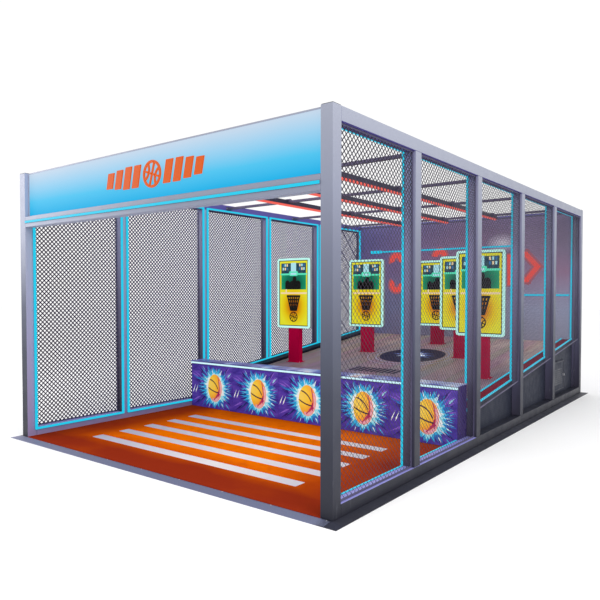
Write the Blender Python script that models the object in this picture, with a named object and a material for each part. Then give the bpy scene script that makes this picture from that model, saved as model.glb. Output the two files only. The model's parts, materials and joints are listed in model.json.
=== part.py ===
"""Walk-in basketball throwing cage: steel frame, mesh sides, sloped ball-return deck and five target displays.

Metres, +Z up. The object stands on z = 0, is centred on the origin and opens towards -Y.
"""

import math

import bmesh
import bpy
from mathutils import Matrix, Vector

# Overall frame, measured over the outside of its tubes
FRAME_WIDTH = 3.94
FRAME_DEPTH = 6.59
FRAME_HEIGHT = 2.73
TUBE = 0.10
TUBE_EDGE = 0.004
GAP = 0.0003

# Base
BASE_HEIGHT = 0.015
BASE_OVERHANG = 0.087
BASE_LIP = 0.003
BASE_REVEAL = 0.01
MAT_THICKNESS = 0.006

# Side walls: distances run back from the front of the frame
FIRST_POST = 1.21
POST_PITCH = 1.31
POST_COUNT = 4
BOTTOM_RAIL_HEIGHT = 0.09
MESH_INSET = 0.024
MESH_THICKNESS = 0.006
CLOSED_BAYS = 2

# Header
HEADER_HEIGHT = 2.175
HEADER_BEAM = 0.105
SIGN_INSET = 0.045
SIGN_THICKNESS = 0.05

# Roof
BEAM_PITCH = 1.49
BEAM_COUNT = 4
BEAM_WIDTH = 0.04
BEAM_LOW = 2.67
BEAM_HEIGHT = 0.03
BRIDGE_HIGH = 2.72
BRIDGE_REACH = 0.05
BAR_OFFSET = 0.80
BAR_WIDTH = 0.06
BAR_LOW = 2.637
BAR_HEIGHT = 0.07
BAR_START = 0.35
BAR_END = 6.15

# Barrier across the cage
BARRIER_FRONT = 2.27
BARRIER_THICKNESS = 0.20
BARRIER_HEIGHT = 0.60

# Sloped deck behind the barrier; the edge ledges stand proud of it
DECK_SLOPE = 0.118
LEDGE_AT_BARRIER = 0.329
LEDGE_RISE = 0.04
LEDGE_WIDTH = 0.144
LEDGE_THICKNESS = 0.06
DECK_THICKNESS = 0.03
JOIST_WIDTH = 0.05
JOIST_SETBACK = 0.02
JOIST_OFFSETS = (-1.30, -0.78, -0.26, 0.26, 0.78, 1.30)
KICK_THICKNESS = 0.016
BACK_WALL_FRONT = 6.45
BACK_WALL_HEIGHT = 2.70

# Mains inlet housing on the rear of the back wall, on the door's side: centre, outer size, wall and pocket depth
INLET_CENTRE = (1.45, 0.30)
INLET_SIZE = (0.14, 0.045, 0.10)
INLET_WALL = 0.012
INLET_POCKET = 0.035

# Target displays: (distance from the centre line, distance back from the front of the frame)
DISPLAY_PLACES = ((-1.435, 3.90), (-0.77, 4.88), (0.0, 5.75), (0.77, 4.88), (1.435, 3.90))
DISPLAY_WIDTH = 0.605
DISPLAY_HEIGHT = 1.04
DISPLAY_THICKNESS = 0.075
DISPLAY_LOW = 0.975
DISPLAY_CORNER = 0.035
COLUMN_WIDTH = 0.20
COLUMN_SETBACK = 0.015
COLUMN_THICKNESS = 0.08
SPINE_HEIGHT = 0.62

# Service door in the right kick panel, behind the last side post
DOOR_LENGTH = 0.60
DOOR_HEIGHT = 0.42
DOOR_LOW = 0.13
DOOR_THICKNESS = 0.016
DOOR_START = 5.35
DOOR_OVERLAP = 0.025
DOOR_STANDOFF = 0.0004
HINGE_RADIUS = 0.009
HINGE_PROUD = 0.010
HINGE_SETBACK = 0.010
PIN_RADIUS = 0.005
PIN_CLEARANCE = 0.0003
PIN_END = 0.055
KNUCKLE_LENGTH = 0.06
KNUCKLE_FROM_EDGE = 0.07
KNUCKLE_GAP = 0.001
HINGE_PLATE = (0.003, 0.045)
STRAP_PROUD = 0.002
STRAP_LENGTH = 0.06

# Quarter-turn latch of the service door
LATCH_RADIUS = 0.008
LATCH_FROM_EDGE = 0.045
LATCH_GAP = 0.006
ROSE_RADIUS = 0.018
ROSE_THICKNESS = 0.006
WING_SIZE = (0.019, 0.010, 0.032)
CAM_SIZE = (0.004, 0.018, 0.057)
CAM_ROOT = 0.009

# Control cabinet under the deck, behind the door
CABINET_SIZE = (0.30, 0.50, 0.38)
CABINET_FROM_JOIST = 0.02
CABINET_FROM_DOOR = 0.05

# Derived places
HALF = FRAME_WIDTH / 2
INNER = HALF - TUBE
FRONT = -FRAME_DEPTH / 2
REAR = FRAME_DEPTH / 2
FOOT = BASE_HEIGHT
TOP = FOOT + FRAME_HEIGHT
DECK_START = FRONT + BARRIER_FRONT + BARRIER_THICKNESS + GAP
DECK_END = FRONT + BACK_WALL_FRONT - GAP
POST_CENTRES = [FRONT + FIRST_POST + POST_PITCH * index for index in range(POST_COUNT)]
KICK_OUTER = INNER - GAP
KICK_INNER = KICK_OUTER - KICK_THICKNESS
DOOR_FACE = KICK_OUTER + DOOR_STANDOFF
DOOR_FLOOR = FOOT + DOOR_LOW
DOOR_ROOF = DOOR_FLOOR + DOOR_HEIGHT
DOOR_AXIS = (KICK_OUTER + HINGE_PROUD, FRONT + DOOR_START - HINGE_SETBACK)
LATCH_Y = FRONT + DOOR_START + DOOR_LENGTH - LATCH_FROM_EDGE
LATCH_Z = (DOOR_FLOOR + DOOR_ROOF) / 2


def clear_scene():
    for thing in list(bpy.data.objects):
        bpy.data.objects.remove(thing, do_unlink=True)


def material(name, colour, roughness, metallic=0.0):
    made = bpy.data.materials.new(name)
    made.use_nodes = True
    shader = made.node_tree.nodes["Principled BSDF"]
    shader.inputs["Base Color"].default_value = (*colour, 1.0)
    shader.inputs["Roughness"].default_value = roughness
    shader.inputs["Metallic"].default_value = metallic
    made.diffuse_color = (*colour, 1.0)
    return made


def link(name, mesh, origin, surface, edge=0.0):
    """Adds one part. Its mesh is in world coordinates and its origin goes to the point given."""
    mesh.transform(Matrix.Translation(-Vector(origin)))
    part = bpy.data.objects.new(name, mesh)
    part.location = origin
    bpy.context.scene.collection.objects.link(part)
    if surface:
        mesh.materials.append(surface)
    if edge:
        bevel = part.modifiers.new("Edges", "BEVEL")
        bevel.width = edge
        bevel.segments = 2
        bevel.limit_method = "ANGLE"
    return part


def middle(low, high):
    return tuple((a + b) / 2 for a, b in zip(low, high))


def box(name, low, high, surface, edge=0.0, origin=None):
    form = bmesh.new()
    bmesh.ops.create_cube(form, size=1.0)
    size = [b - a for a, b in zip(low, high)]
    bmesh.ops.scale(form, vec=size, verts=form.verts)
    bmesh.ops.translate(form, vec=middle(low, high), verts=form.verts)
    mesh = bpy.data.meshes.new(name)
    form.to_mesh(mesh)
    form.free()
    return link(name, mesh, origin or middle(low, high), surface, edge)


def prism(name, outline, along, start, stop, surface, edge=0.0):
    """A closed outline extruded along one axis: 'x' takes (y, z) points and 'y' takes (x, z) points."""
    form = bmesh.new()
    if along == "x":
        points = [(start, a, b) for a, b in outline]
        shift = (stop - start, 0, 0)
    else:
        points = [(a, start, b) for a, b in outline]
        shift = (0, stop - start, 0)
    face = form.faces.new([form.verts.new(point) for point in points])
    grown = bmesh.ops.extrude_face_region(form, geom=[face])
    moved = [item for item in grown["geom"] if isinstance(item, bmesh.types.BMVert)]
    bmesh.ops.translate(form, vec=shift, verts=moved)
    bmesh.ops.recalc_face_normals(form, faces=form.faces)
    mesh = bpy.data.meshes.new(name)
    form.to_mesh(mesh)
    form.free()
    corners = [Vector(vertex.co) for vertex in mesh.vertices]
    low = [min(corner[axis] for corner in corners) for axis in range(3)]
    high = [max(corner[axis] for corner in corners) for axis in range(3)]
    return link(name, mesh, middle(low, high), surface, edge)


def hull(name, points, surface):
    form = bmesh.new()
    for point in points:
        form.verts.new(point)
    bmesh.ops.convex_hull(form, input=form.verts)
    bmesh.ops.dissolve_limit(
        form, angle_limit=math.radians(0.5), verts=form.verts, edges=form.edges
    )
    mesh = bpy.data.meshes.new(name)
    form.to_mesh(mesh)
    form.free()
    corners = [Vector(point) for point in points]
    low = [min(corner[axis] for corner in corners) for axis in range(3)]
    high = [max(corner[axis] for corner in corners) for axis in range(3)]
    return link(name, mesh, middle(low, high), surface)


def cylinder(name, start, stop, radius, surface=None, sides=32):
    start, stop = Vector(start), Vector(stop)
    form = bmesh.new()
    bmesh.ops.create_cone(
        form, cap_ends=True, segments=sides, radius1=radius, radius2=radius, depth=(stop - start).length
    )
    turn = Vector((0, 0, 1)).rotation_difference(stop - start).to_matrix().to_4x4()
    form.transform(Matrix.Translation((start + stop) / 2) @ turn)
    mesh = bpy.data.meshes.new(name)
    form.to_mesh(mesh)
    form.free()
    return link(name, mesh, tuple((start + stop) / 2), surface)


def combine(part, other, operation):
    """Joins or cuts one part with another, which becomes a hidden helper."""
    step = part.modifiers.new(operation.title(), "BOOLEAN")
    step.operation = operation
    step.solver = "EXACT"
    step.object = other
    other.hide_render = True
    other.display_type = "WIRE"
    return part


def ledge_top(y):
    """Height of the ledges and of the lighting line along the side walls."""
    return FOOT + LEDGE_AT_BARRIER + DECK_SLOPE * (y - DECK_START)


def deck_top(y):
    return ledge_top(y) - LEDGE_RISE


def bays():
    """The openings between the posts of one side wall, from front to rear."""
    edges = [FRONT + TUBE]
    for centre in POST_CENTRES:
        edges += [centre - TUBE / 2, centre + TUBE / 2]
    edges.append(REAR - TUBE)
    return list(zip(edges[::2], edges[1::2]))


def sides():
    return (("left", -1), ("right", 1))


def mirrored(side, near, far):
    """Lowest and highest x of something that lies between two distances from the centre line."""
    return sorted((side * near, side * far))


def build_base():
    slate = material("base_slate", (0.055, 0.060, 0.085), 0.55, 0.3)
    ramp = material("ramp_aluminium", (0.42, 0.46, 0.60), 0.38, 0.7)
    rubber = material("mat_rubber", (0.80, 0.16, 0.02), 0.62)
    wide, narrow = HALF + BASE_OVERHANG, HALF + BASE_REVEAL
    section = [(-wide, 0), (wide, 0), (wide, BASE_LIP), (narrow, FOOT), (-narrow, FOOT), (-wide, BASE_LIP)]
    rear = REAR + BASE_OVERHANG
    slab = [(x, FRONT, z) for x, z in section]
    slab += [(x, rear, z) for x, z in section if z < FOOT]
    slab += [(x, REAR + BASE_REVEAL, FOOT) for x in (-narrow, narrow)]
    hull("base_platform", slab, slate)
    nose = [(x, FRONT - GAP, z) for x, z in section]
    nose += [(x, FRONT - BASE_OVERHANG, z) for x, z in section if z < FOOT]
    hull("entry_ramp", nose, ramp)
    low = (-INNER + GAP, FRONT + GAP, FOOT + GAP)
    high = (INNER - GAP, FRONT + BARRIER_FRONT - GAP, FOOT + MAT_THICKNESS)
    box("player_mat", low, high, rubber)


def build_posts():
    steel = material("frame_steel", (0.46, 0.47, 0.56), 0.42, 0.35)
    for end, y in (("front", FRONT), ("rear", REAR - TUBE)):
        for name, side in sides():
            x_low, x_high = mirrored(side, INNER, HALF)
            low = (x_low, y, FOOT + GAP)
            box(f"corner_post_{end}_{name}", low, (x_high, y + TUBE, TOP), steel, TUBE_EDGE)
    for name, side in sides():
        for index, centre in enumerate(POST_CENTRES, 1):
            x_low, x_high = mirrored(side, INNER, HALF)
            low = (x_low, centre - TUBE / 2, FOOT + BOTTOM_RAIL_HEIGHT + GAP)
            high = (x_high, centre + TUBE / 2, TOP - TUBE - GAP)
            box(f"side_post_{name}_{index}", low, high, steel, TUBE_EDGE)
    return steel


def build_rails(steel):
    start, stop = FRONT + TUBE + GAP, REAR - TUBE - GAP
    for name, side in sides():
        x_low, x_high = mirrored(side, INNER, HALF)
        low, high = (x_low, start, TOP - TUBE), (x_high, stop, TOP)
        box(f"side_top_rail_{name}", low, high, steel, TUBE_EDGE)
        low, high = (x_low, start, FOOT + GAP), (x_high, stop, FOOT + BOTTOM_RAIL_HEIGHT)
        box(f"side_bottom_rail_{name}", low, high, steel, TUBE_EDGE)
    reach = INNER - GAP
    low = (-reach, FRONT, FOOT + HEADER_HEIGHT)
    high = (reach, FRONT + TUBE, FOOT + HEADER_HEIGHT + HEADER_BEAM)
    box("header_beam", low, high, steel, TUBE_EDGE)
    box("rear_top_rail", (-reach, REAR - TUBE, TOP - TUBE), (reach, REAR, TOP), steel, TUBE_EDGE)


def build_sign():
    acrylic = material("sign_acrylic", (0.20, 0.62, 0.88), 0.25)
    low = (-INNER + GAP, FRONT + SIGN_INSET, FOOT + HEADER_HEIGHT + HEADER_BEAM + GAP)
    box("sign_light_box", low, (INNER - GAP, FRONT + SIGN_INSET + SIGN_THICKNESS, TOP), acrylic, 0.002)


def build_mesh_panels():
    wire = material("mesh_steel", (0.62, 0.63, 0.66), 0.35, 0.9)
    for name, side in sides():
        x_low, x_high = mirrored(side, HALF - MESH_INSET - MESH_THICKNESS, HALF - MESH_INSET)
        for index, (start, stop) in enumerate(bays(), 1):
            start, stop = start + GAP, stop - GAP
            floor = [FOOT + BOTTOM_RAIL_HEIGHT + GAP] * 2
            if index > CLOSED_BAYS:
                floor = [ledge_top(start), ledge_top(stop)]
            roof = TOP - TUBE - GAP
            outline = [(start, floor[0]), (stop, floor[1]), (stop, roof), (start, roof)]
            prism(f"mesh_panel_{name}_{index}", outline, "x", x_low, x_high, wire)


def beam_outline():
    """Cross beam from the front: a flat bar that bridges over each light bar."""
    low, high = FOOT + BEAM_LOW, FOOT + BEAM_LOW + BEAM_HEIGHT
    notch, bridge = FOOT + BAR_LOW + BAR_HEIGHT + GAP, FOOT + BRIDGE_HIGH
    reach = INNER - GAP
    half_bar = BAR_WIDTH / 2 + GAP
    under, over = [], []
    for x in (-BAR_OFFSET, 0.0, BAR_OFFSET):
        under += [(x - half_bar, low), (x - half_bar, notch), (x + half_bar, notch), (x + half_bar, low)]
        over += [(x - BRIDGE_REACH, high), (x - BRIDGE_REACH, bridge)]
        over += [(x + BRIDGE_REACH, bridge), (x + BRIDGE_REACH, high)]
    return [(-reach, low)] + under + [(reach, low), (reach, high)] + over[::-1] + [(-reach, high)]


def build_roof():
    beam_steel = material("beam_steel", (0.27, 0.25, 0.38), 0.45, 0.3)
    housing = material("light_bar_housing", (0.05, 0.055, 0.08), 0.40, 0.4)
    outline = beam_outline()
    for index in range(1, BEAM_COUNT + 1):
        centre = FRONT + BEAM_PITCH * index
        start, stop = centre - BEAM_WIDTH / 2, centre + BEAM_WIDTH / 2
        prism(f"cross_beam_{index}", outline, "y", start, stop, beam_steel)
    places = (("left", -BAR_OFFSET), ("centre", 0.0), ("right", BAR_OFFSET))
    for name, x in places:
        low = (x - BAR_WIDTH / 2, FRONT + BAR_START, FOOT + BAR_LOW)
        high = (x + BAR_WIDTH / 2, FRONT + BAR_END, FOOT + BAR_LOW + BAR_HEIGHT)
        box(f"light_bar_{name}", low, high, housing, 0.003)


def build_barrier():
    print_face = material("barrier_print", (0.10, 0.045, 0.33), 0.30)
    low = (-INNER + GAP, FRONT + BARRIER_FRONT, FOOT + GAP)
    high = (INNER - GAP, FRONT + BARRIER_FRONT + BARRIER_THICKNESS, FOOT + BARRIER_HEIGHT)
    box("ball_barrier", low, high, print_face, 0.004)


def build_deck():
    wood = material("deck_laminate", (0.42, 0.27, 0.20), 0.45)
    edge = KICK_INNER - GAP - LEDGE_WIDTH
    start, stop = DECK_START, DECK_END
    reach = edge - GAP
    outline = [(start, deck_top(start)), (stop, deck_top(stop))]
    outline += [(y, z - DECK_THICKNESS) for y, z in reversed(outline)]
    deck = prism("return_deck", outline, "x", -reach, reach, wood)
    sink = DECK_THICKNESS / 2
    first, last = start + JOIST_SETBACK, stop - JOIST_SETBACK
    joist = [(first, FOOT + GAP), (last, FOOT + GAP)]
    joist += [(last, deck_top(last) - sink), (first, deck_top(first) - sink)]
    for index, x in enumerate(JOIST_OFFSETS, 1):
        rib = prism(f"joist_{index}", joist, "x", x - JOIST_WIDTH / 2, x + JOIST_WIDTH / 2, None)
        combine(deck, rib, "UNION")
    vinyl = material("ledge_vinyl", (0.22, 0.010, 0.040), 0.5)
    outline = [(start, ledge_top(start)), (stop, ledge_top(stop))]
    outline += [(y, z - LEDGE_THICKNESS) for y, z in reversed(outline)]
    for name, side in sides():
        x_low, x_high = mirrored(side, edge, KICK_INNER - GAP)
        prism(f"side_ledge_{name}", outline, "x", x_low, x_high, vinyl)


def build_kick_panels():
    sheet = material("kick_sheet", (0.075, 0.085, 0.105), 0.5, 0.2)
    start, stop = DECK_START, DECK_END
    outline = [(start, FOOT + GAP), (stop, FOOT + GAP), (stop, ledge_top(stop)), (start, ledge_top(start))]
    for name, side in sides():
        x_low, x_high = mirrored(side, KICK_INNER, KICK_OUTER)
        panel = prism(f"kick_panel_{name}", outline, "x", x_low, x_high, sheet)
        if side > 0:
            y_low = FRONT + DOOR_START + DOOR_OVERLAP
            y_high = FRONT + DOOR_START + DOOR_LENGTH - DOOR_OVERLAP
            low = (x_low - DOOR_OVERLAP, y_low, DOOR_FLOOR + DOOR_OVERLAP)
            high = (x_high + DOOR_OVERLAP, y_high, DOOR_ROOF - DOOR_OVERLAP)
            cutter = box("door_hole", low, high, None)
            combine(panel, cutter, "DIFFERENCE")
    return sheet


def build_back_wall():
    board = material("back_wall_board", (0.30, 0.22, 0.37), 0.55)
    rear = REAR - TUBE - GAP
    low = (-INNER + GAP, FRONT + BACK_WALL_FRONT, FOOT + GAP)
    wall = box("back_wall_panel", low, (INNER - GAP, rear, FOOT + BACK_WALL_HEIGHT), board)
    x, z = INLET_CENTRE
    width, depth, height = INLET_SIZE
    low = (x - width / 2, rear - depth / 2, z - height / 2)
    high = (x + width / 2, rear + depth, z + height / 2)
    combine(wall, box("inlet_housing", low, high, None), "UNION")
    low = (low[0] + INLET_WALL, high[1] - INLET_POCKET, low[2] + INLET_WALL)
    high = (high[0] - INLET_WALL, high[1] + INLET_WALL, high[2] - INLET_WALL)
    combine(wall, box("inlet_pocket", low, high, None), "DIFFERENCE")


def rounded_outline(x_low, x_high, z_low, z_high, radius, steps=6):
    points = []
    corners = ((x_high, z_high, 0), (x_low, z_high, 90), (x_low, z_low, 180), (x_high, z_low, 270))
    for x, z, turn in corners:
        centre_x = x - radius if x == x_high else x + radius
        centre_z = z - radius if z == z_high else z + radius
        for step in range(steps + 1):
            angle = math.radians(turn + 90 * step / steps)
            points.append((centre_x + radius * math.cos(angle), centre_z + radius * math.sin(angle)))
    return points


def build_displays():
    shell = material("display_housing", (0.45, 0.85, 0.85), 0.3)
    crimson = material("column_steel", (0.36, 0.012, 0.045), 0.42, 0.2)
    low_edge = FOOT + DISPLAY_LOW
    for index, (x, distance) in enumerate(DISPLAY_PLACES, 1):
        front = FRONT + distance
        back = front + DISPLAY_THICKNESS
        reach, high_edge = DISPLAY_WIDTH / 2, low_edge + DISPLAY_HEIGHT
        outline = rounded_outline(x - reach, x + reach, low_edge, high_edge, DISPLAY_CORNER)
        prism(f"target_display_{index}", outline, "y", front, back, shell)
        near, far = front + COLUMN_SETBACK, front + COLUMN_SETBACK + COLUMN_THICKNESS
        top = low_edge - GAP
        outline = [(near, deck_top(near) + GAP), (far, deck_top(far) + GAP), (far, low_edge + SPINE_HEIGHT)]
        outline += [(back + GAP, low_edge + SPINE_HEIGHT), (back + GAP, top), (near, top)]
        x_low, x_high = x - COLUMN_WIDTH / 2, x + COLUMN_WIDTH / 2
        prism(f"display_column_{index}", outline, "x", x_low, x_high, crimson)


def build_door(sheet):
    """Leaf with two knuckles. Its origin is on the hinge line, where the door turns."""
    axis_x, axis_y = DOOR_AXIS
    outer = DOOR_FACE + DOOR_THICKNESS
    low = (DOOR_FACE, FRONT + DOOR_START, DOOR_FLOOR)
    high = (outer, FRONT + DOOR_START + DOOR_LENGTH, DOOR_ROOF)
    door = box("service_door", low, high, sheet, 0.0, (axis_x, axis_y, LATCH_Z))
    knuckles = (DOOR_FLOOR + KNUCKLE_FROM_EDGE, DOOR_ROOF - KNUCKLE_FROM_EDGE - KNUCKLE_LENGTH)
    for index, z in enumerate(knuckles, 1):
        top = z + KNUCKLE_LENGTH
        strap_low = (axis_x + PIN_RADIUS + PIN_CLEARANCE, axis_y, z)
        strap_high = (outer + STRAP_PROUD, axis_y + STRAP_LENGTH, top)
        combine(door, box(f"door_strap_{index}", strap_low, strap_high, None), "UNION")
        start, stop = (axis_x, axis_y, z), (axis_x, axis_y, top)
        combine(door, cylinder(f"door_knuckle_{index}", start, stop, HINGE_RADIUS), "UNION")
    start, stop = (axis_x, axis_y, DOOR_FLOOR), (axis_x, axis_y, DOOR_ROOF)
    combine(door, cylinder("door_bore", start, stop, PIN_RADIUS + PIN_CLEARANCE), "DIFFERENCE")
    start = (DOOR_FACE - DOOR_THICKNESS, LATCH_Y, LATCH_Z)
    stop = (outer + DOOR_THICKNESS, LATCH_Y, LATCH_Z)
    combine(door, cylinder("latch_bore", start, stop, LATCH_RADIUS + PIN_CLEARANCE), "DIFFERENCE")


def build_hinge():
    """Pin with the fixed middle knuckle and the plate that holds it to the kick panel."""
    chrome = material("hinge_steel", (0.55, 0.56, 0.60), 0.3, 0.9)
    axis_x, axis_y = DOOR_AXIS
    start, stop = (axis_x, axis_y, DOOR_FLOOR + PIN_END), (axis_x, axis_y, DOOR_ROOF - PIN_END)
    pin = cylinder("door_hinge_pin", start, stop, PIN_RADIUS, chrome)
    taken = KNUCKLE_FROM_EDGE + KNUCKLE_LENGTH + KNUCKLE_GAP
    first, last = DOOR_FLOOR + taken, DOOR_ROOF - taken
    knuckle = cylinder("hinge_knuckle", (axis_x, axis_y, first), (axis_x, axis_y, last), HINGE_RADIUS)
    combine(pin, knuckle, "UNION")
    thickness, width = HINGE_PLATE
    plate_low = (DOOR_FACE, axis_y - width, first + KNUCKLE_GAP)
    plate_high = (DOOR_FACE + thickness, axis_y + KNUCKLE_GAP, last - KNUCKLE_GAP)
    combine(pin, box("hinge_plate", plate_low, plate_high, None), "UNION")
    return chrome


def build_latch(chrome):
    """Quarter-turn latch: rose and wing outside, shaft through the door and a cam inside the door hole."""
    y, z = LATCH_Y, LATCH_Z
    outer = DOOR_FACE + DOOR_THICKNESS + GAP
    cam_outer = KICK_INNER - LATCH_GAP
    cam_depth, cam_width, cam_length = CAM_SIZE
    start, stop = (cam_outer - cam_depth, y, z), (outer + ROSE_THICKNESS, y, z)
    latch = cylinder("door_latch", start, stop, LATCH_RADIUS, chrome)
    rose = cylinder("latch_rose", (outer, y, z), (outer + ROSE_THICKNESS, y, z), ROSE_RADIUS)
    combine(latch, rose, "UNION")
    depth, width, length = WING_SIZE
    root = outer + ROSE_THICKNESS / 2
    wing_low = (root, y - width / 2, z - length / 2)
    wing_high = (root + depth, y + width / 2, z + length / 2)
    combine(latch, box("latch_wing", wing_low, wing_high, None), "UNION")
    cam_low = (cam_outer - cam_depth, y - cam_width / 2, z - CAM_ROOT)
    cam_high = (cam_outer, y + cam_width / 2, z - CAM_ROOT + cam_length)
    combine(latch, box("latch_cam", cam_low, cam_high, None), "UNION")


def build_cabinet():
    steel = material("cabinet_steel", (0.48, 0.49, 0.50), 0.45, 0.3)
    width, length, height = CABINET_SIZE
    x_low = JOIST_OFFSETS[-1] + JOIST_WIDTH / 2 + CABINET_FROM_JOIST
    y_low = FRONT + DOOR_START + CABINET_FROM_DOOR
    high = (x_low + width, y_low + length, FOOT + height)
    box("control_cabinet", (x_low, y_low, FOOT + GAP), high, steel, TUBE_EDGE)


def main():
    clear_scene()
    build_base()
    steel = build_posts()
    build_rails(steel)
    build_sign()
    build_mesh_panels()
    build_roof()
    build_barrier()
    build_deck()
    sheet = build_kick_panels()
    build_back_wall()
    build_displays()
    build_door(sheet)
    build_latch(build_hinge())
    build_cabinet()


main()
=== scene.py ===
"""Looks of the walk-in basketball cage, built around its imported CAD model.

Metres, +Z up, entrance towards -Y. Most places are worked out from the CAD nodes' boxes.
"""

import json
import math
import random

import bmesh
import bpy
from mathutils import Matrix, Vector


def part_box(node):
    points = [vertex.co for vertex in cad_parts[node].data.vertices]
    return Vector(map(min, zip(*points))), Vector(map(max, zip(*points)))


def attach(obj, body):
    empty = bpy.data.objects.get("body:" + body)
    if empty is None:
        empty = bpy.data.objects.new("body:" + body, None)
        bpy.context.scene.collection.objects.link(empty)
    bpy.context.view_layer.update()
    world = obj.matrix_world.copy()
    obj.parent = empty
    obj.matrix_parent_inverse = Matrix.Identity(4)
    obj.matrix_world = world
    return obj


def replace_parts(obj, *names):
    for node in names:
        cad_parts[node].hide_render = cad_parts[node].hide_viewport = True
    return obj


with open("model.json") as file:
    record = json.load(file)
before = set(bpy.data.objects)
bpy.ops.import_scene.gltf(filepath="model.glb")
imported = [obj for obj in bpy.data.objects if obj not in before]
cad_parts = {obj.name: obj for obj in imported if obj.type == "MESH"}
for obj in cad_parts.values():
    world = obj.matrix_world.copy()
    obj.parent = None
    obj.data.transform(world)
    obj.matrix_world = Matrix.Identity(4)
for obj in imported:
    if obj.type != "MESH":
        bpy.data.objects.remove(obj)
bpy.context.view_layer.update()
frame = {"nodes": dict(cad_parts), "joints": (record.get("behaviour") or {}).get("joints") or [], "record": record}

NODES = frame["nodes"]
SIDES = (("left", -1), ("right", 1))
FIVE = range(1, 6)

# The first bays of a side have mesh down to the floor
CLOSED_BAYS = 2

# Play between touching faces, from closest to widest, and how squarely a face has to look along an axis
CONTACT = 0.0002
GAP = 0.0003
SEAT = 0.0004
FLAT = 0.7

# Diamond mesh: distance between holes along and up the wall, strand width below and above the two heights
# between which it changes, strand thickness and lean, edge channel and its screws
HOLE_PITCH = 0.0475
HOLE_HEIGHT = 0.0467
STRAND_WIDTH = {"left": (0.0101, 0.0101), "right": (0.0029, 0.0086)}
STRAND_RISE = (1.85, 2.2)
STRAND_THICKNESS = {"left": 0.0048, "right": 0.0008}
STRAND_TILT = 0.0003
CHANNEL_WIDTH = 0.014
CHANNEL_HALF = 0.004
SCREW_PITCH = 0.42

# Lighting strips on the posts' inner faces: width, how far they stand proud, thickness of their base; and
# the height of the strip on a ledge
STRIP_WIDTH = 0.023
STRIP_DEPTH = 0.026
STRIP_BASE = 0.003
LEDGE_STRIP = 0.022

# Printed layers: thickness, the centre of a barrier tile's burst, and the front of a display's glass
LAYER = 0.0004
BURST = (0.06, -0.012)
GLASS = 0.009

# Half the length of the mat's stripes; centre and half sizes of the back wall's pale panel
STRIPE_REACH = 1.34
GLOW_CENTRE = (0.82, 2.31)
GLOW_HALVES = (0.3, 0.17)

# Just short of a full turn, so that the two ends of a ring stay apart
NEARLY_ROUND = 2 * math.pi - 0.0001


# ---------------------------------------------------------------- shapes


class Form:
    """Gathers closed shapes in one mesh; each takes the number of its material slot."""

    def __init__(self):
        self.mesh = bmesh.new()

    def _tag(self, faces, slot):
        for face in faces:
            face.material_index = slot

    def box(self, low, high, slot=0):
        points = [(x, y, z) for x in (low[0], high[0]) for y in (low[1], high[1]) for z in (low[2], high[2])]
        corners = [self.mesh.verts.new(point) for point in points]
        rings = ((0, 1, 3, 2), (4, 6, 7, 5), (0, 4, 5, 1), (2, 3, 7, 6), (0, 2, 6, 4), (1, 5, 7, 3))
        self._tag([self.mesh.faces.new([corners[index] for index in ring]) for ring in rings], slot)

    def sweep(self, outline, shift, slot=0):
        """A flat closed outline of 3-D points moved along shift."""
        shift = Vector(shift)
        first = [self.mesh.verts.new(point) for point in outline]
        last = [self.mesh.verts.new(Vector(point) + shift) for point in outline]
        faces = [self.mesh.faces.new(first), self.mesh.faces.new(last[::-1])]
        for index in range(len(outline)):
            after = (index + 1) % len(outline)
            faces.append(self.mesh.faces.new((first[after], first[index], last[index], last[after])))
        self._tag(faces, slot)

    def upright(self, outline, front, depth, slot=0):
        """An outline of (x, z) points, from y = front backwards."""
        self.sweep([(x, front, z) for x, z in outline], (0, depth, 0), slot)

    def along_x(self, section, start, length):
        """A section of (y, z) points drawn along x."""
        self.sweep([(start, y, z) for y, z in section], (length, 0, 0))

    def level(self, outline, base, height):
        """An outline of (x, y) points raised from z = base."""
        self.sweep([(x, y, base) for x, y in outline], (0, 0, height))

    def window(self, outer, inner, front, back, slot=0, closed=True):
        """An upright frame between two outlines of (x, z) points."""
        pairs = zip(outer, inner)
        rings = [[(a, front, b), (c, front, d), (c, back, d), (a, back, b)] for (a, b), (c, d) in pairs]
        self.skin(rings, closed, slot)

    def skin(self, rings, closed=True, slot=0):
        """Joins rings of equally many points into one tube, with flat ends or joined end to end."""
        rows = [[self.mesh.verts.new(point) for point in ring] for ring in rings]
        faces = []
        pairs = list(zip(rows, rows[1:]))
        if closed:
            pairs.append((rows[-1], rows[0]))
        else:
            faces += [self.mesh.faces.new(rows[0]), self.mesh.faces.new(rows[-1][::-1])]
        for one, two in pairs:
            for index in range(len(one)):
                after = (index + 1) % len(one)
                faces.append(self.mesh.faces.new((one[after], one[index], two[index], two[after])))
        self._tag(faces, slot)

    def turned(self, centre, axis, profile, sides=24, slot=0):
        """A turned shape: profile holds (radius, distance along the axis) from one end to the other."""
        turn = Vector((0, 0, 1)).rotation_difference(Vector(axis)).to_matrix()
        centre = Vector(centre)
        rings = []
        for radius, height in profile:
            rings.append([centre + turn @ Vector((x, y, height)) for x, y in circle(radius, radius, sides)])
        self.skin(rings, False, slot)

    def bolt(self, point, axis, size, slot=0):
        """A button-head screw: washer and domed head."""
        profile = [(size * 1.5, 0), (size * 1.5, size * 0.15), (size, size * 0.15), (size, size * 0.45)]
        profile += [(size * 0.75, size * 0.7), (size * 0.35, size * 0.78), (size * 0.3, size * 0.45)]
        self.turned(point, axis, profile, 12, slot)

    def piece(self, name, surfaces, body="cage", slot=None, edge=0.0, smooth=0.6):
        """Makes a mesh with its materials, and the object that shows it."""
        bmesh.ops.recalc_face_normals(self.mesh, faces=self.mesh.faces)
        mesh = bpy.data.meshes.new(name)
        self.mesh.to_mesh(mesh)
        self.mesh.free()
        for surface in surfaces:
            mesh.materials.append(surface)
        return place(name, mesh, body, slot, edge, smooth)


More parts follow.
